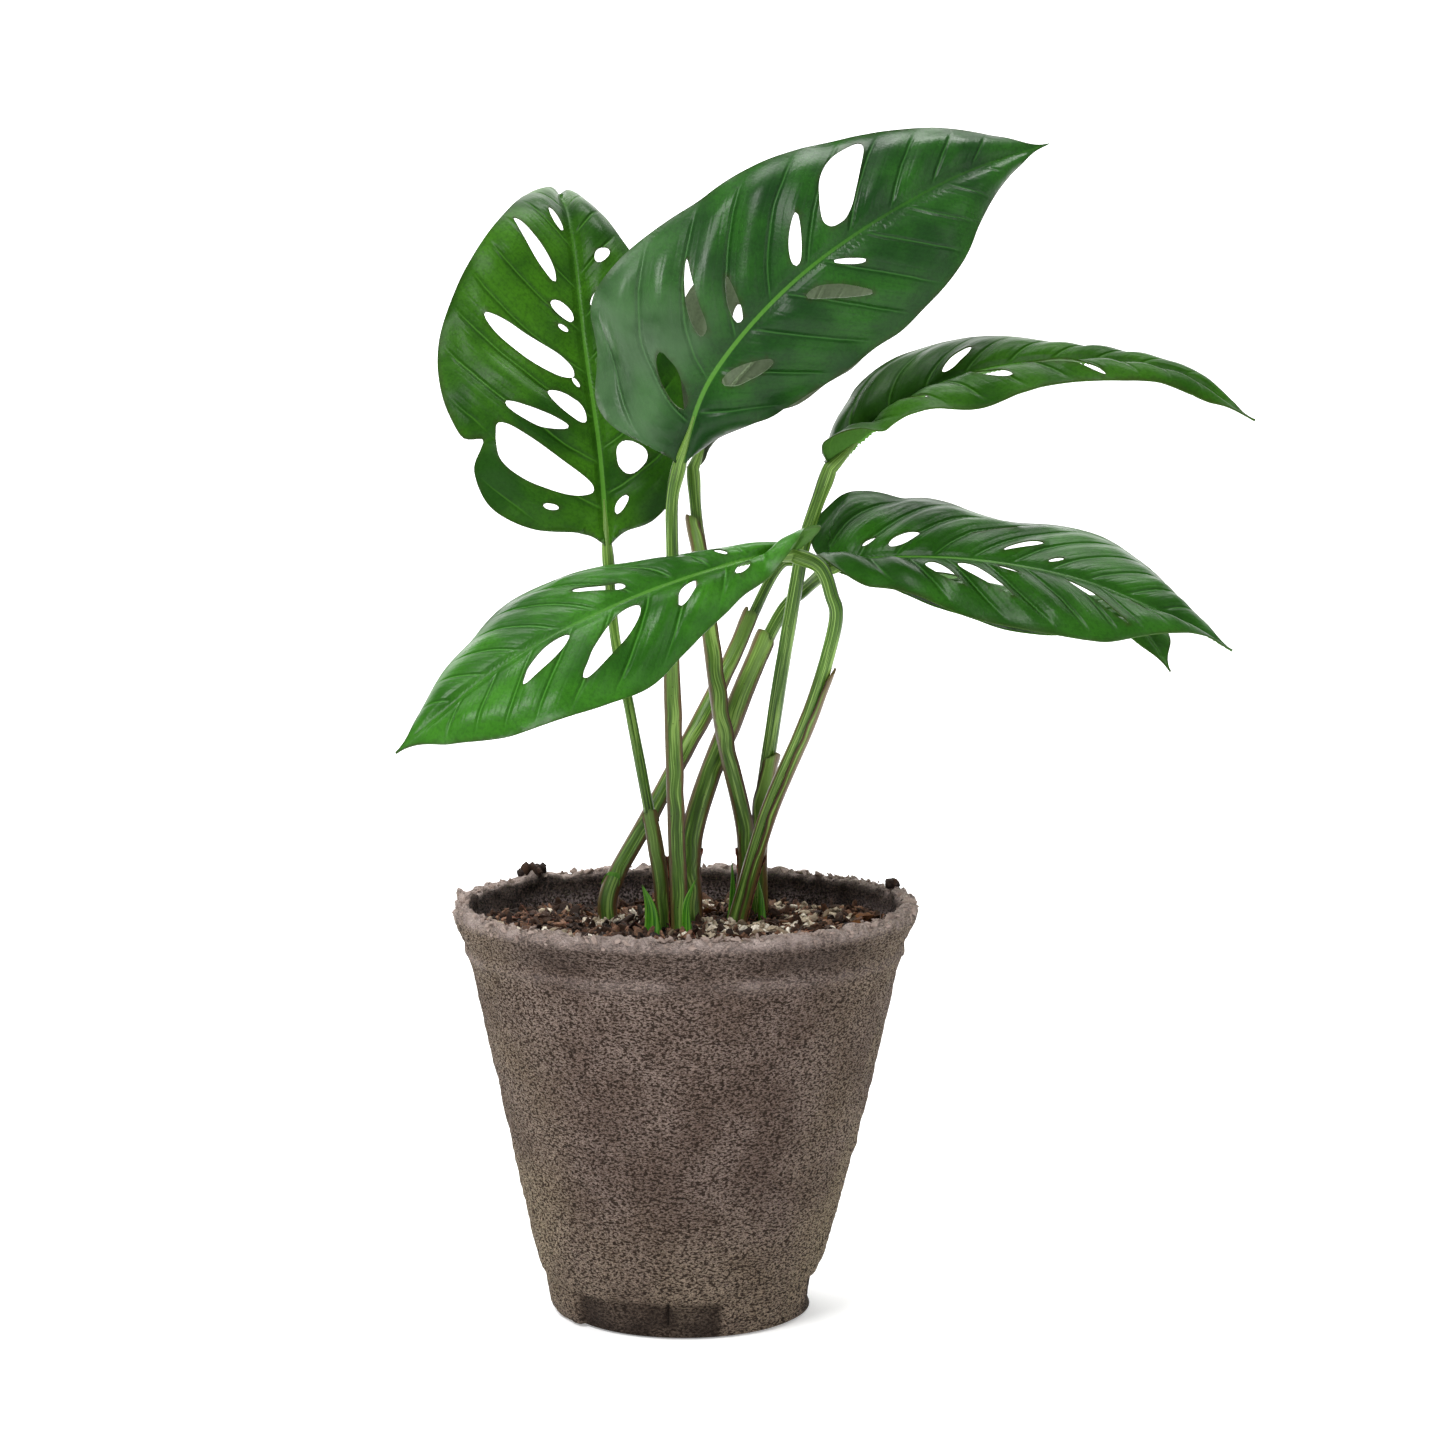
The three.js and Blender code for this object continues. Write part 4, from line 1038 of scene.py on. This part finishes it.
def make_pot():
    profile, rows = pot_profile()
    profile[:, 0] = np.maximum(profile[:, 0], 0)
    tangent = unit(np.gradient(profile, axis=0))
    outward = np.stack([tangent[:, 1], -tangent[:, 0]], 1)
    inner = slice(1, -1)
    profile_in, outward_in, rows_in = profile[inner], outward[inner], rows[inner]
    angle = np.linspace(0, 2 * np.pi, POT_COLUMNS, endpoint=False)
    radius = np.repeat(profile_in[:, :1], POT_COLUMNS, 1)
    height = np.repeat(profile_in[:, 1:], POT_COLUMNS, 1)
    circle = np.stack([np.cos(angle), np.sin(angle)], 1)
    flat = np.concatenate([radius[..., None] * circle, height[..., None]], -1)

    def uneven(size, seed):
        return value_noise(flat, size, seed)

    rim_share = smoothstep(height, POT_HEIGHT - 4.6, POT_HEIGHT - 1)
    outside = rows_in[:, None] < OUTSIDE_ROWS
    on_floor = (height < 0.9) & outside
    lumps = 0.2 * uneven(5.5, 1) + 0.17 * uneven(2.1, 2) + 0.16 * uneven(1.15, 3)
    sway = 0.45 * uneven(32, 4)
    torn = rim_share * (0.75 * uneven(4.2, 5) + 0.7 * uneven(1.5, 6))
    # press lines left by the mould run round the lower part of the cone
    lines = 0.2 * value_noise(flat * (0.1, 0.1, 1), 1.4, 7)
    lines = lines * smoothstep(height, 14, 30) * (1 - smoothstep(height, 60, 80))
    # the foot stands a little to the left of the rim's middle
    lean = -1.3 * circle[None, :, 0] * (1 - smoothstep(height, 8, 50)) * smoothstep(radius, 20, 33)
    push = lumps + sway + torn + lines
    step = 2 * math.pi / RECESSES
    recess_place = np.abs(np.mod(angle - FIRST_RECESS + step / 2, step) - step / 2)
    in_recess = 1 - smoothstep(recess_place, math.radians(32), math.radians(35))
    below_top = 1 - smoothstep(height, 8.6, 10.4)
    recess = 1.5 * in_recess[None] * below_top * smoothstep(radius, 27, 31)
    # one narrow slit stands near the right end of the front recess, and one pin hole high on the left
    slit = bell(angle_gap(angle, math.radians(263)), 0.012)[None] * below_top * (height > 3)
    hole = bell(angle_gap(angle, math.radians(212)), 0.016)[None]
    hole = hole * bell(height - POT_HEIGHT + 16, 0.8)
    push = push - np.where(outside, recess + 0.8 * slit + 1.2 * hole, 0) + np.where(outside, lean, 0)
    push = np.where(on_floor, 0, push)
    lift = np.zeros_like(height)
    for lump_angle, size, tall in RIM_LUMPS:
        lift += tall * bell(angle_gap(angle, lump_angle), size)[None]
    lift = (lift + 0.8 * uneven(3, 12)) * smoothstep(height, POT_HEIGHT - 4, POT_HEIGHT - 0.6)
    lift = lift * (0.8 + 0.6 * uneven(1.3, 8))
    placed_r = radius + push * outward_in[:, :1]
    placed_z = height + push * outward_in[:, 1:] + lift
    placed_z = np.where(outside & (height < 6), np.maximum(placed_z, 0), placed_z)
    points = np.concatenate([placed_r[..., None] * circle, placed_z[..., None]], -1).reshape(-1, 3)
    ring_count = len(profile_in)
    faces = tube_faces(ring_count, POT_COLUMNS, closed_ends=False)
    low_pole, high_pole = len(points), len(points) + 1
    points = np.vstack([points, (0, 0, 0), (0, 0, FLOOR)])
    last = (ring_count - 1) * POT_COLUMNS
    for k in range(POT_COLUMNS):
        after = (k + 1) % POT_COLUMNS
        faces.append((low_pole, after, k))
        faces.append((high_pole, last + k, last + after))
    inside = smoothstep(np.repeat(rows_in[:, None], POT_COLUMNS, 1), RIM_INNER_ROW, RIM_INNER_ROW + 0.7)
    inside = inside * (0.8 + 0.2 * uneven(4, 9))
    # painted shade: the recesses of the foot are painted darker, as under the ledge above them
    shade = in_recess[None] * (1 - smoothstep(height, 7.5, 10.5)) * outside
    shade = shade * np.clip(1 + 0.5 * uneven(6, 17), 0, 1)
    # painted shade: the front of the collar is painted darker, as under the rim, with a paler line round its
    # lower edge as a painted highlight
    painted_collar_shade = (1 - smoothstep(angle_gap(angle, math.radians(275)), 0.5, 1.2))[None]
    painted_collar_shade = painted_collar_shade * smoothstep(height, COLLAR_BOTTOM, COLLAR_BOTTOM + 5)
    painted_collar_shade = painted_collar_shade * (1 - smoothstep(height, POT_HEIGHT - 5, POT_HEIGHT - 2))
    shade = np.maximum(shade, 0.7 * painted_collar_shade * outside * (0.75 + 0.5 * uneven(9, 13)))
    # painted highlight: a paler line along the ridge at the collar's lower edge
    ridge_highlight = 0.42 * bell(height - COLLAR_BOTTOM - 0.2, 1.5) * outside
    ridge_highlight = ridge_highlight * np.clip(0.7 + 0.8 * uneven(10, 15), 0, 1)
    # painted highlight: the rim's crest is painted pale as well
    rim_and_ridge_highlight = np.maximum(rim_share * (rows_in[:, None] < 20.5), ridge_highlight)
    # a grey bloom stands just above the mix at the back
    sheen_and_bloom = (rows_in[:, None] > 20) * bell(height - SOIL_TOP + 0.5, 2.4)
    sheen_and_bloom = sheen_and_bloom * smoothstep(circle[None, :, 1], -0.1, 0.4) * np.clip(0.8 + 1.2 * uneven(7, 14), 0, 1)
    # the sides and the lower part of the cone are painted paler and more yellow than the front: partly a tan
    # tone of the fibre, partly painted light that offsets the shading at the sides
    tan_and_painted_light = smoothstep(abs(circle[None, :, 0]), 0.45, 1) * (0.55 + 0.45 * (1 - smoothstep(height, 20, 70)))
    tan_and_painted_light = np.maximum(tan_and_painted_light, 0.5 * (1 - smoothstep(height, 10, 45))) * np.clip(0.8 + 0.6 * uneven(12, 16), 0, 1)
    ends = [0, 0]
    attributes = {
        "rim": np.r_[(rim_and_ridge_highlight * (0.75 + 0.35 * uneven(6, 10))).ravel(), ends],
        "inside": np.r_[np.clip(inside, 0, 1).ravel(), 0, 1],
        "low": np.r_[shade.ravel(), ends],
        "pit": np.r_[np.clip((slit + hole) * outside, 0, 1).ravel(), ends],
        "sheen_and_bloom": np.r_[sheen_and_bloom.ravel(), ends],
        "tan_and_painted_light": np.r_[(tan_and_painted_light * outside).ravel(), ends],
    }
    piece = make_piece("fibre_pot", points, faces, fibre_material(), attributes, None)
    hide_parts("pot")


def make_hairs(name, roots, directions, lengths, radius, material, rng):
    """Loose fibres: thin three-sided threads that curl a little."""
    points, faces = [], []
    sides, rings = 3, 5
    corners = (0, 2.094, 4.189)
    for root, direction, length in zip(roots, directions, lengths):
        bend = rng.normal(size=3) * 0.5
        along = np.linspace(0, 1, rings)[:, None]
        line = root + direction * along * length + bend * along**2 * length * 0.5
        side = unit(np.cross(direction, bend + 0.01))
        up = unit(np.cross(direction, side))
        offset = len(points) * sides
        for i in range(rings):
            r = radius * (1 - 0.75 * i / (rings - 1))
            ring = [line[i] + r * (math.cos(a) * side + math.sin(a) * up) for a in corners]
            points.append(ring)
        faces += tube_faces(rings, sides, True, offset)
    piece = make_piece(name, np.array(points).reshape(-1, 3), faces, material, None, None)


def make_pot_hairs():
    rng = np.random.default_rng(31)
    count = 2600
    angle = rng.uniform(0, 2 * np.pi, count)
    rim = rng.random(count) < 0.62
    height = np.where(rim, POT_HEIGHT - rng.uniform(0.2, 5, count), rng.uniform(14, COLLAR_BOTTOM, count))
    slope = (SHOULDER_RADIUS - STEP_RADIUS) / (COLLAR_BOTTOM - FOOT_HEIGHT)
    on_cone = STEP_RADIUS + slope * (height - FOOT_HEIGHT) - 0.4
    radius = np.where(rim, RIM_RADIUS - rng.uniform(0.6, 4, count), on_cone)
    height = np.where(rim & (radius > RIM_RADIUS - 1.6), height, np.where(rim, POT_HEIGHT - 0.8, height))
    roots = on_circle(radius, angle, height)
    outward = np.stack([np.cos(angle), np.sin(angle), np.where(rim, 0.9, 0.1)], 1)
    sideways = np.stack([-np.sin(angle), np.cos(angle), 0 * angle], 1) * rng.normal(size=(count, 1)) * 1.3
    directions = unit(outward * 0.7 + sideways + rng.normal(size=(count, 3)) * 0.35)
    lengths = np.where(rim, rng.uniform(0.6, 2.4, count), rng.uniform(0.6, 1.6, count))
    make_hairs("pot_hairs", roots, directions, lengths, 0.075, HAIR_MATERIAL, rng)


RIM_FLUFF_COUNT = 520


def make_rim_fluff():
    """Small tufts and crumbs of fibre that stand off the rim."""
    rng = np.random.default_rng(35)
    lumps = []
    for i in range(RIM_FLUFF_COUNT):
        angle = rng.uniform(0, 2 * math.pi)
        across = rng.uniform(0.2, 4.2)
        radius = RIM_RADIUS - across
        z = POT_HEIGHT - 0.5 if across > 1.1 else POT_HEIGHT - rng.uniform(0.6, 3)
        size = rng.uniform(0.22, 0.7) * np.array([1.5, 0.9, 0.75])
        lump = crumb_shape(SMALL_BALL_POINTS, size, 0.7, 900 + i)
        lump = turned(lump, angle + 1.57 + rng.normal() * 0.5, rng.normal() * 0.6, rng.normal() * 0.6)
        place = (radius * math.cos(angle), radius * math.sin(angle), z + rng.uniform(-0.2, 0.35))
        lumps.append(lump + place)
    join_lumps("rim_fluff", lumps, [SMALL_BALL_FACES] * len(lumps), HAIR_MATERIAL)


# ---------------------------------------------------------------- potting mix


def icosphere(level):
    golden = (1 + 5**0.5) / 2
    points = [(-1, golden, 0), (1, golden, 0), (-1, -golden, 0), (1, -golden, 0)]
    points += [(0, -1, golden), (0, 1, golden), (0, -1, -golden), (0, 1, -golden)]
    points += [(golden, 0, -1), (golden, 0, 1), (-golden, 0, -1), (-golden, 0, 1)]
    points = [np.array(p) / np.linalg.norm(p) for p in points]
    near = 1.2
    faces = []
    for a in range(12):
        for b in range(a + 1, 12):
            for c in range(b + 1, 12):
                p, q, r = points[a], points[b], points[c]
                if max(np.linalg.norm(p - q), np.linalg.norm(q - r), np.linalg.norm(p - r)) < near:
                    faces.append((a, b, c) if np.dot(np.cross(q - p, r - p), p) > 0 else (a, c, b))
    for _ in range(level):
        middle, finer = {}, []
        for a, b, c in faces:
            mids = []
            for i, j in ((a, b), (b, c), (c, a)):
                key = (min(i, j), max(i, j))
                if key not in middle:
                    middle[key] = len(points)
                    points.append(unit(points[i] + points[j]))
                mids.append(middle[key])
            ab, bc, ca = mids
            finer += [(a, ab, ca), (b, bc, ab), (c, ca, bc), (ab, bc, ca)]
        faces = finer
    return np.array(points), np.array(faces)


BALL_POINTS, BALL_FACES = icosphere(2)
SMALL_BALL_POINTS, SMALL_BALL_FACES = icosphere(1)
LUMP_SHARPNESS = 40


def join_lumps(name, lumps, ball_faces, material, tones=None):
    """One piece from many loose lumps, each with its own tone."""
    sizes = [len(lump) for lump in lumps]
    starts = np.cumsum([0, *sizes[:-1]])
    faces = np.vstack([ball + start for ball, start in zip(ball_faces, starts)])
    faces = [tuple(face) for face in faces]
    attributes = None if tones is None else {"tone": np.repeat(tones, sizes)}
    piece = make_piece(name, np.vstack(lumps), faces, material, attributes, LUMP_SHARPNESS)
    return piece


def crumb_shape(points, size, roughness, seed, squareness=0.0):
    """A lump: a ball made uneven, pressed towards a block, then scaled."""
    coarse, fine = value_noise(points * 1.7, 1, seed), value_noise(points * 4, 1, seed + 1)
    lump = points * (1 + roughness * coarse + 0.4 * roughness * fine)[:, None]
    if squareness:
        block = lump / np.abs(lump).max(1, keepdims=True) * 0.82
        lump = lump * (1 - squareness) + block * squareness
    return lump * size


def turned(points, yaw, pitch, roll):
    cy, sy = math.cos(yaw), math.sin(yaw)
    cp, sp = math.cos(pitch), math.sin(pitch)
    cr, sr = math.cos(roll), math.sin(roll)
    rx = np.array([[1, 0, 0], [0, cr, -sr], [0, sr, cr]])
    ry = np.array([[cp, 0, sp], [0, 1, 0], [-sp, 0, cp]])
    rz = np.array([[cy, -sy, 0], [sy, cy, 0], [0, 0, 1]])
    return points @ (rz @ ry @ rx).T


def soil_height(x, y):
    """The litter's bed, which heaps up a little against the wall."""
    radius = np.hypot(x, y)
    place = np.stack([x, y, 0 * x], -1)
    heap = 1.2 * smoothstep(radius, SOIL_RADIUS - 9, SOIL_RADIUS)
    slope = -2.6 * smoothstep(y, 12, 48)
    return SOIL_TOP - 0.8 + heap + slope + 0.9 * value_noise(place, 9, 21) + 0.4 * value_noise(place, 3, 22)


def make_soil_bed():
    rings, columns = 70, 200
    radius = np.linspace(0.4, SOIL_RADIUS - 0.2, rings)
    angle = np.linspace(0, 2 * np.pi, columns, endpoint=False)
    r, a = np.meshgrid(radius, angle, indexing="ij")
    x, y = r * np.cos(a), r * np.sin(a)
    z = soil_height(x, y) + 0.35 * value_noise(np.stack([x, y, 0 * x], -1), 1.2, 23)
    top = np.stack([x, y, z], -1).reshape(-1, 3)
    base_z = soil_low.z / MM
    base_radius = 28
    base = on_circle(base_radius, angle, np.full(columns, base_z))
    points = np.vstack([top, base, (0, 0, top[0, 2]), (0, 0, base_z)])
    faces = tube_faces(rings + 1, columns, closed_ends=False)
    top_pole, base_pole = len(points) - 2, len(points) - 1
    last = rings * columns
    for k in range(columns):
        after = (k + 1) % columns
        faces.append((top_pole, k, after))
        faces.append((base_pole, last + after, last + k))
    tone = 0.25 + 0.25 * value_noise(points, 2.5, 24)
    piece = make_piece("soil_bed", points, faces, PEAT_MATERIAL, {"tone": tone}, None)
    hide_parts("soil")


def scatter_crumbs(
    name, count, size_range, shape, squareness, roughness, material, slot, seed, lift=0.0, clumps=0.0
):
    """Many loose crumbs in one mesh, over the soil and clear of the wall."""
    rng = np.random.default_rng(seed)
    lumps, faces, tones = [], [], []
    while len(lumps) < count:
        radius = (SOIL_RADIUS - 0.8) * math.sqrt(rng.random())
        angle = rng.uniform(0, 2 * math.pi)
        x, y = radius * math.cos(angle), radius * math.sin(angle)
        patch = float(value_noise(np.array([x, y, 7.0]), 7.5, seed + 2))
        if rng.random() < clumps * (0.55 - patch):
            continue
        size = rng.uniform(*size_range) * (0.7 + 0.6 * rng.random())
        stretch = size * np.array(shape) * rng.uniform(0.65, 1.35, 3)
        whole = stretch.max() > 2.2
        ball, ball_faces = (BALL_POINTS, BALL_FACES) if whole else (SMALL_BALL_POINTS, SMALL_BALL_FACES)
        lump = crumb_shape(ball, stretch, roughness, int(rng.integers(1, 9999)), squareness)
        lump = turned(lump, rng.uniform(0, 6.3), rng.normal() * 0.55, rng.normal() * 0.7)
        reach = np.hypot(lump[:, 0] + x, lump[:, 1] + y).max()
        if reach > SOIL_RADIUS:
            continue
        lumps.append(lump + np.array([x, y, soil_height(x, y) + lift * size + rng.uniform(-0.2, 0.6)]))
        faces.append(ball_faces)
        tones.append(rng.random())
    join_lumps(name, lumps, faces, material, tones)


def make_rim_clump(name, angle, radius, count, seed):
    """Crumbs of potting mix left on the rim."""
    rng = np.random.default_rng(seed)
    lumps, tones = [], []
    for i in range(count):
        spread = rng.normal(size=3) * (0.035, 0.9, 0.8)
        r, a = radius + spread[1], angle + spread[0]
        size = rng.uniform(0.7, 1.7) * np.array([1.2, 0.9, 0.8])
        lump = crumb_shape(SMALL_BALL_POINTS, size, 0.5, seed + i, 0.2)
        lump = turned(lump, *rng.uniform(0, 3, 3))
        lumps.append(lump + (r * math.cos(a), r * math.sin(a), POT_HEIGHT + 0.7 + abs(spread[2])))
        tones.append(0.45 * rng.random())
    join_lumps(name, lumps, [SMALL_BALL_FACES] * count, BARK_MATERIAL, tones)


# For each kind of larger loose piece: lumps, spread, size, squareness and slot.
TOPPINGS = {
    "bark": dict(count=7, spread=0.62, size=(2.1, 1.1, 0.5), squareness=0.35, slot="bark"),
    "perlite": dict(count=4, spread=0.5, size=(1.15, 0.85, 0.8), squareness=0.1, slot="perlite"),
}


def make_topping(node, seed):
    """The larger loose pieces: a cluster of shreds or grains where each CAD piece lies."""
    rng = np.random.default_rng(seed + 500)
    low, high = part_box(node)
    centre = np.array((low + high) / 2) / MM
    half = np.array((high - low) / 2) / MM
    kind = "bark" if node.startswith("bark") else "perlite"
    form = TOPPINGS[kind]
    around = math.atan2(centre[1], centre[0]) + math.pi / 2
    lumps, tones = [], []
    for i in range(form["count"]):
        spread = rng.uniform(-1, 1, 2) * half[:2] * form["spread"]
        x, y = centre[0] + spread[0], centre[1] + spread[1]
        size = np.array(form["size"]) * rng.uniform(0.7, 1.25)
        lump = crumb_shape(BALL_POINTS, size, 0.5, seed * 10 + i, form["squareness"])
        lump = turned(lump, around + rng.normal(), rng.normal() * 0.45, rng.normal() * 0.5)
        lumps.append(lump + (x, y, soil_height(x, y) + rng.uniform(0.5, 1.4)))
        tones.append(rng.random())
    material = BARK_MATERIAL if kind == "bark" else PERLITE_MATERIAL
    piece = join_lumps("loose_" + node, lumps, [BALL_FACES] * len(lumps), material, tones)
    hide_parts(node)


def make_soil_threads():
    rng = np.random.default_rng(77)
    count = 260
    radius = (SOIL_RADIUS - 4) * np.sqrt(rng.random(count))
    angle = rng.uniform(0, 2 * np.pi, count)
    x, y = radius * np.cos(angle), radius * np.sin(angle)
    roots = np.stack([x, y, soil_height(x, y) + rng.uniform(0.4, 1.6, count)], 1)
    directions = unit(rng.normal(size=(count, 3)) * (1, 1, 0.3))
    lengths = rng.uniform(1.5, 5, count)
    make_hairs("soil_threads", roots, directions, lengths, 0.11, HUSK_MATERIAL, rng)


# ---------------------------------------------------------------- the object

STALK_MATERIAL = stalk_material(
    "leaf_stalk", green=(0.05, 0.125, 0.009), light=(0.23, 0.38, 0.08), dark=(0.014, 0.045, 0.003)
)
SHOOT_MATERIAL = stalk_material(
    "new_growth", green=(0.045, 0.2, 0.006), light=(0.16, 0.4, 0.04), dark=(0.016, 0.09, 0.004)
)
HUSK_MATERIAL = husk_material()
HAIR_MATERIAL = fibre_hair_material()
PEAT_MATERIAL = crumb_material(
    "peat_bed", (0.01, 0.006, 0.004), (0.03, 0.017, 0.011), (0.06, 0.033, 0.02), feature_mm=0.8
)
BARK_MATERIAL = crumb_material(
    "bark_chips", (0.012, 0.006, 0.004), (0.06, 0.029, 0.017), (0.27, 0.14, 0.085), feature_mm=0.7
)
LITTER_MATERIAL = crumb_material(
    "leaf_litter", (0.02, 0.007, 0.003), (0.07, 0.025, 0.008), (0.18, 0.07, 0.02), feature_mm=1.2
)
PERLITE_MATERIAL = crumb_material(
    "perlite", (0.2, 0.14, 0.09), (0.55, 0.45, 0.33), (0.9, 0.82, 0.7), feature_mm=0.6
)

make_pot()
make_pot_hairs()
make_rim_fluff()
make_soil_bed()
# each: name, count, sizes, shape, squareness, roughness, material, slot, seed, lift and clumping
LITTER = [
    ("bark_litter", 1500, (0.6, 1.5), (1.9, 0.7, 0.4), 0.4, 0.45, BARK_MATERIAL, "bark", 41, 0.2),
    ("peat_crumbs", 1700, (0.3, 0.8), (1.4, 0.9, 0.7), 0.1, 0.5, BARK_MATERIAL, "potting_mix", 43, 0.4),
    ("leaf_litter", 260, (0.6, 1.5), (1.9, 1.1, 0.25), 0.1, 0.5, LITTER_MATERIAL, "bark", 45, 0.5, 0.9),
    ("perlite_litter", 900, (0.4, 1.1), (1.6, 0.75, 0.7), 0.25, 0.6, PERLITE_MATERIAL,
     "perlite", 47, 0.7, 1.7),
]
for litter in LITTER:
    scatter_crumbs(*litter)
make_soil_threads()
make_rim_clump("rim_clump_left", 2.36, RIM_RADIUS - 2.6, 16, 71)
make_rim_clump("rim_clump_right", 0.3, RIM_RADIUS - 2.4, 6, 72)
toppings = sorted(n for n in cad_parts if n.startswith(("bark_chip", "perlite")))
for number, node_name in enumerate(toppings):
    make_topping(node_name, number + 3)

stalk_lines = {}
for number, leaf in enumerate(LEAVES):
    make_blade(leaf, 100 * number + 17)
    stalk_lines[leaf["name"]] = make_stalk(leaf, 50 * number + 5)
for shoot in SHOOTS:
    make_shoot(shoot)

make_husk("husk_middle", *stalk_lines["top_front"], 20, 2.5, 150, 75, 61)
make_husk("husk_left", *stalk_lines["back_left"], 19, 2.2, 40, 70, 62)
make_husk("husk_behind", *stalk_lines["right_lower"], 19, 2.6, -10, 55, 64)
make_husk("husk_right", *stalk_lines["back_middle"], 20, 2.5, 165, 75, 63)
make_husk("husk_side", *stalk_lines["left_lower"], 19, 2.6, 15, 75, 65)
make_green_collar("collar_left_foot", *stalk_lines["right_back"], 12, 2.12, -110, 190, 66)

# ---------------------------------------------------------------- studio


def area_light(name, place, target, size, power, colour=(1, 1, 1)):
    data = bpy.data.lights.new(name, "AREA")
    data.shape = "RECTANGLE"
    data.size, data.size_y = size
    data.energy = power
    data.color = colour
    light = bpy.data.objects.new(name, data)
    light.location = place
    aim = Vector(target) - Vector(place)
    light.rotation_euler = aim.to_track_quat("-Z", "Y").to_euler()
    bpy.context.scene.collection.objects.link(light)


def make_studio():
    half_width, front, back, bend, top = 3.0, -2.6, 1.4, 0.7, 3.2
    section = [(front, 0.0)]
    turn_steps = 16
    for i in range(turn_steps + 1):
        a = i / turn_steps * math.pi / 2
        section.append((back + bend * math.sin(a), bend * (1 - math.cos(a))))
    section.append((back + bend, top))
    points = [(x, y, z) for y, z in section for x in (-half_width, half_width)]
    faces = [(2 * i, 2 * i + 1, 2 * i + 3, 2 * i + 2) for i in range(len(section) - 1)]
    mesh = bpy.data.meshes.new("studio_floor")
    mesh.from_pydata(points, [], faces)
    mesh.polygons.foreach_set("use_smooth", np.ones(len(mesh.polygons), bool))
    shader = Shader("studio_white", 0.9, 0.1)
    shader.surface.inputs["Emission Color"].default_value = (1, 1, 1, 1)
    shader.surface.inputs["Emission Strength"].default_value = 0.3
    mesh.materials.append(shader.finish(shader.mix(shader.noise(60, 2), (0.9, 0.9, 0.9), (0.93, 0.93, 0.93))))
    floor = bpy.data.objects.new("studio_floor", mesh)
    bpy.context.scene.collection.objects.link(floor)
    world = bpy.data.worlds.new("studio_world")
    world.use_nodes = True
    world.node_tree.nodes["Background"].inputs["Color"].default_value = (1, 1, 1, 1)
    world.node_tree.nodes["Background"].inputs["Strength"].default_value = 0.42
    bpy.context.scene.world = world
    plant = (0.02, 0, 0.17)
    area_light("key", (-0.6, -0.95, 1.3), plant, (0.6, 0.6), 21)
    area_light("fill", (1.3, -1.2, 0.7), plant, (0.8, 1.0), 5)
    area_light("top", (0.15, 0.35, 1.5), plant, (0.9, 0.6), 8)
    area_light("backdrop", (0, 0.7, 2.2), (0, 2.0, 0.7), (2.4, 0.6), 55)


def make_camera():
    data = bpy.data.cameras.new("camera")
    data.lens = 87.1
    data.sensor_width = 36
    camera = bpy.data.objects.new("camera", data)
    camera.location = (0.0097, -0.89, 0.255)
    tilt_down = math.radians(6.54)
    camera.rotation_euler = (math.pi / 2 - tilt_down, 0, 0)
    bpy.context.scene.collection.objects.link(camera)
    bpy.context.scene.camera = camera


make_studio()
make_camera()
bpy.context.scene.view_settings.view_transform = "Standard"
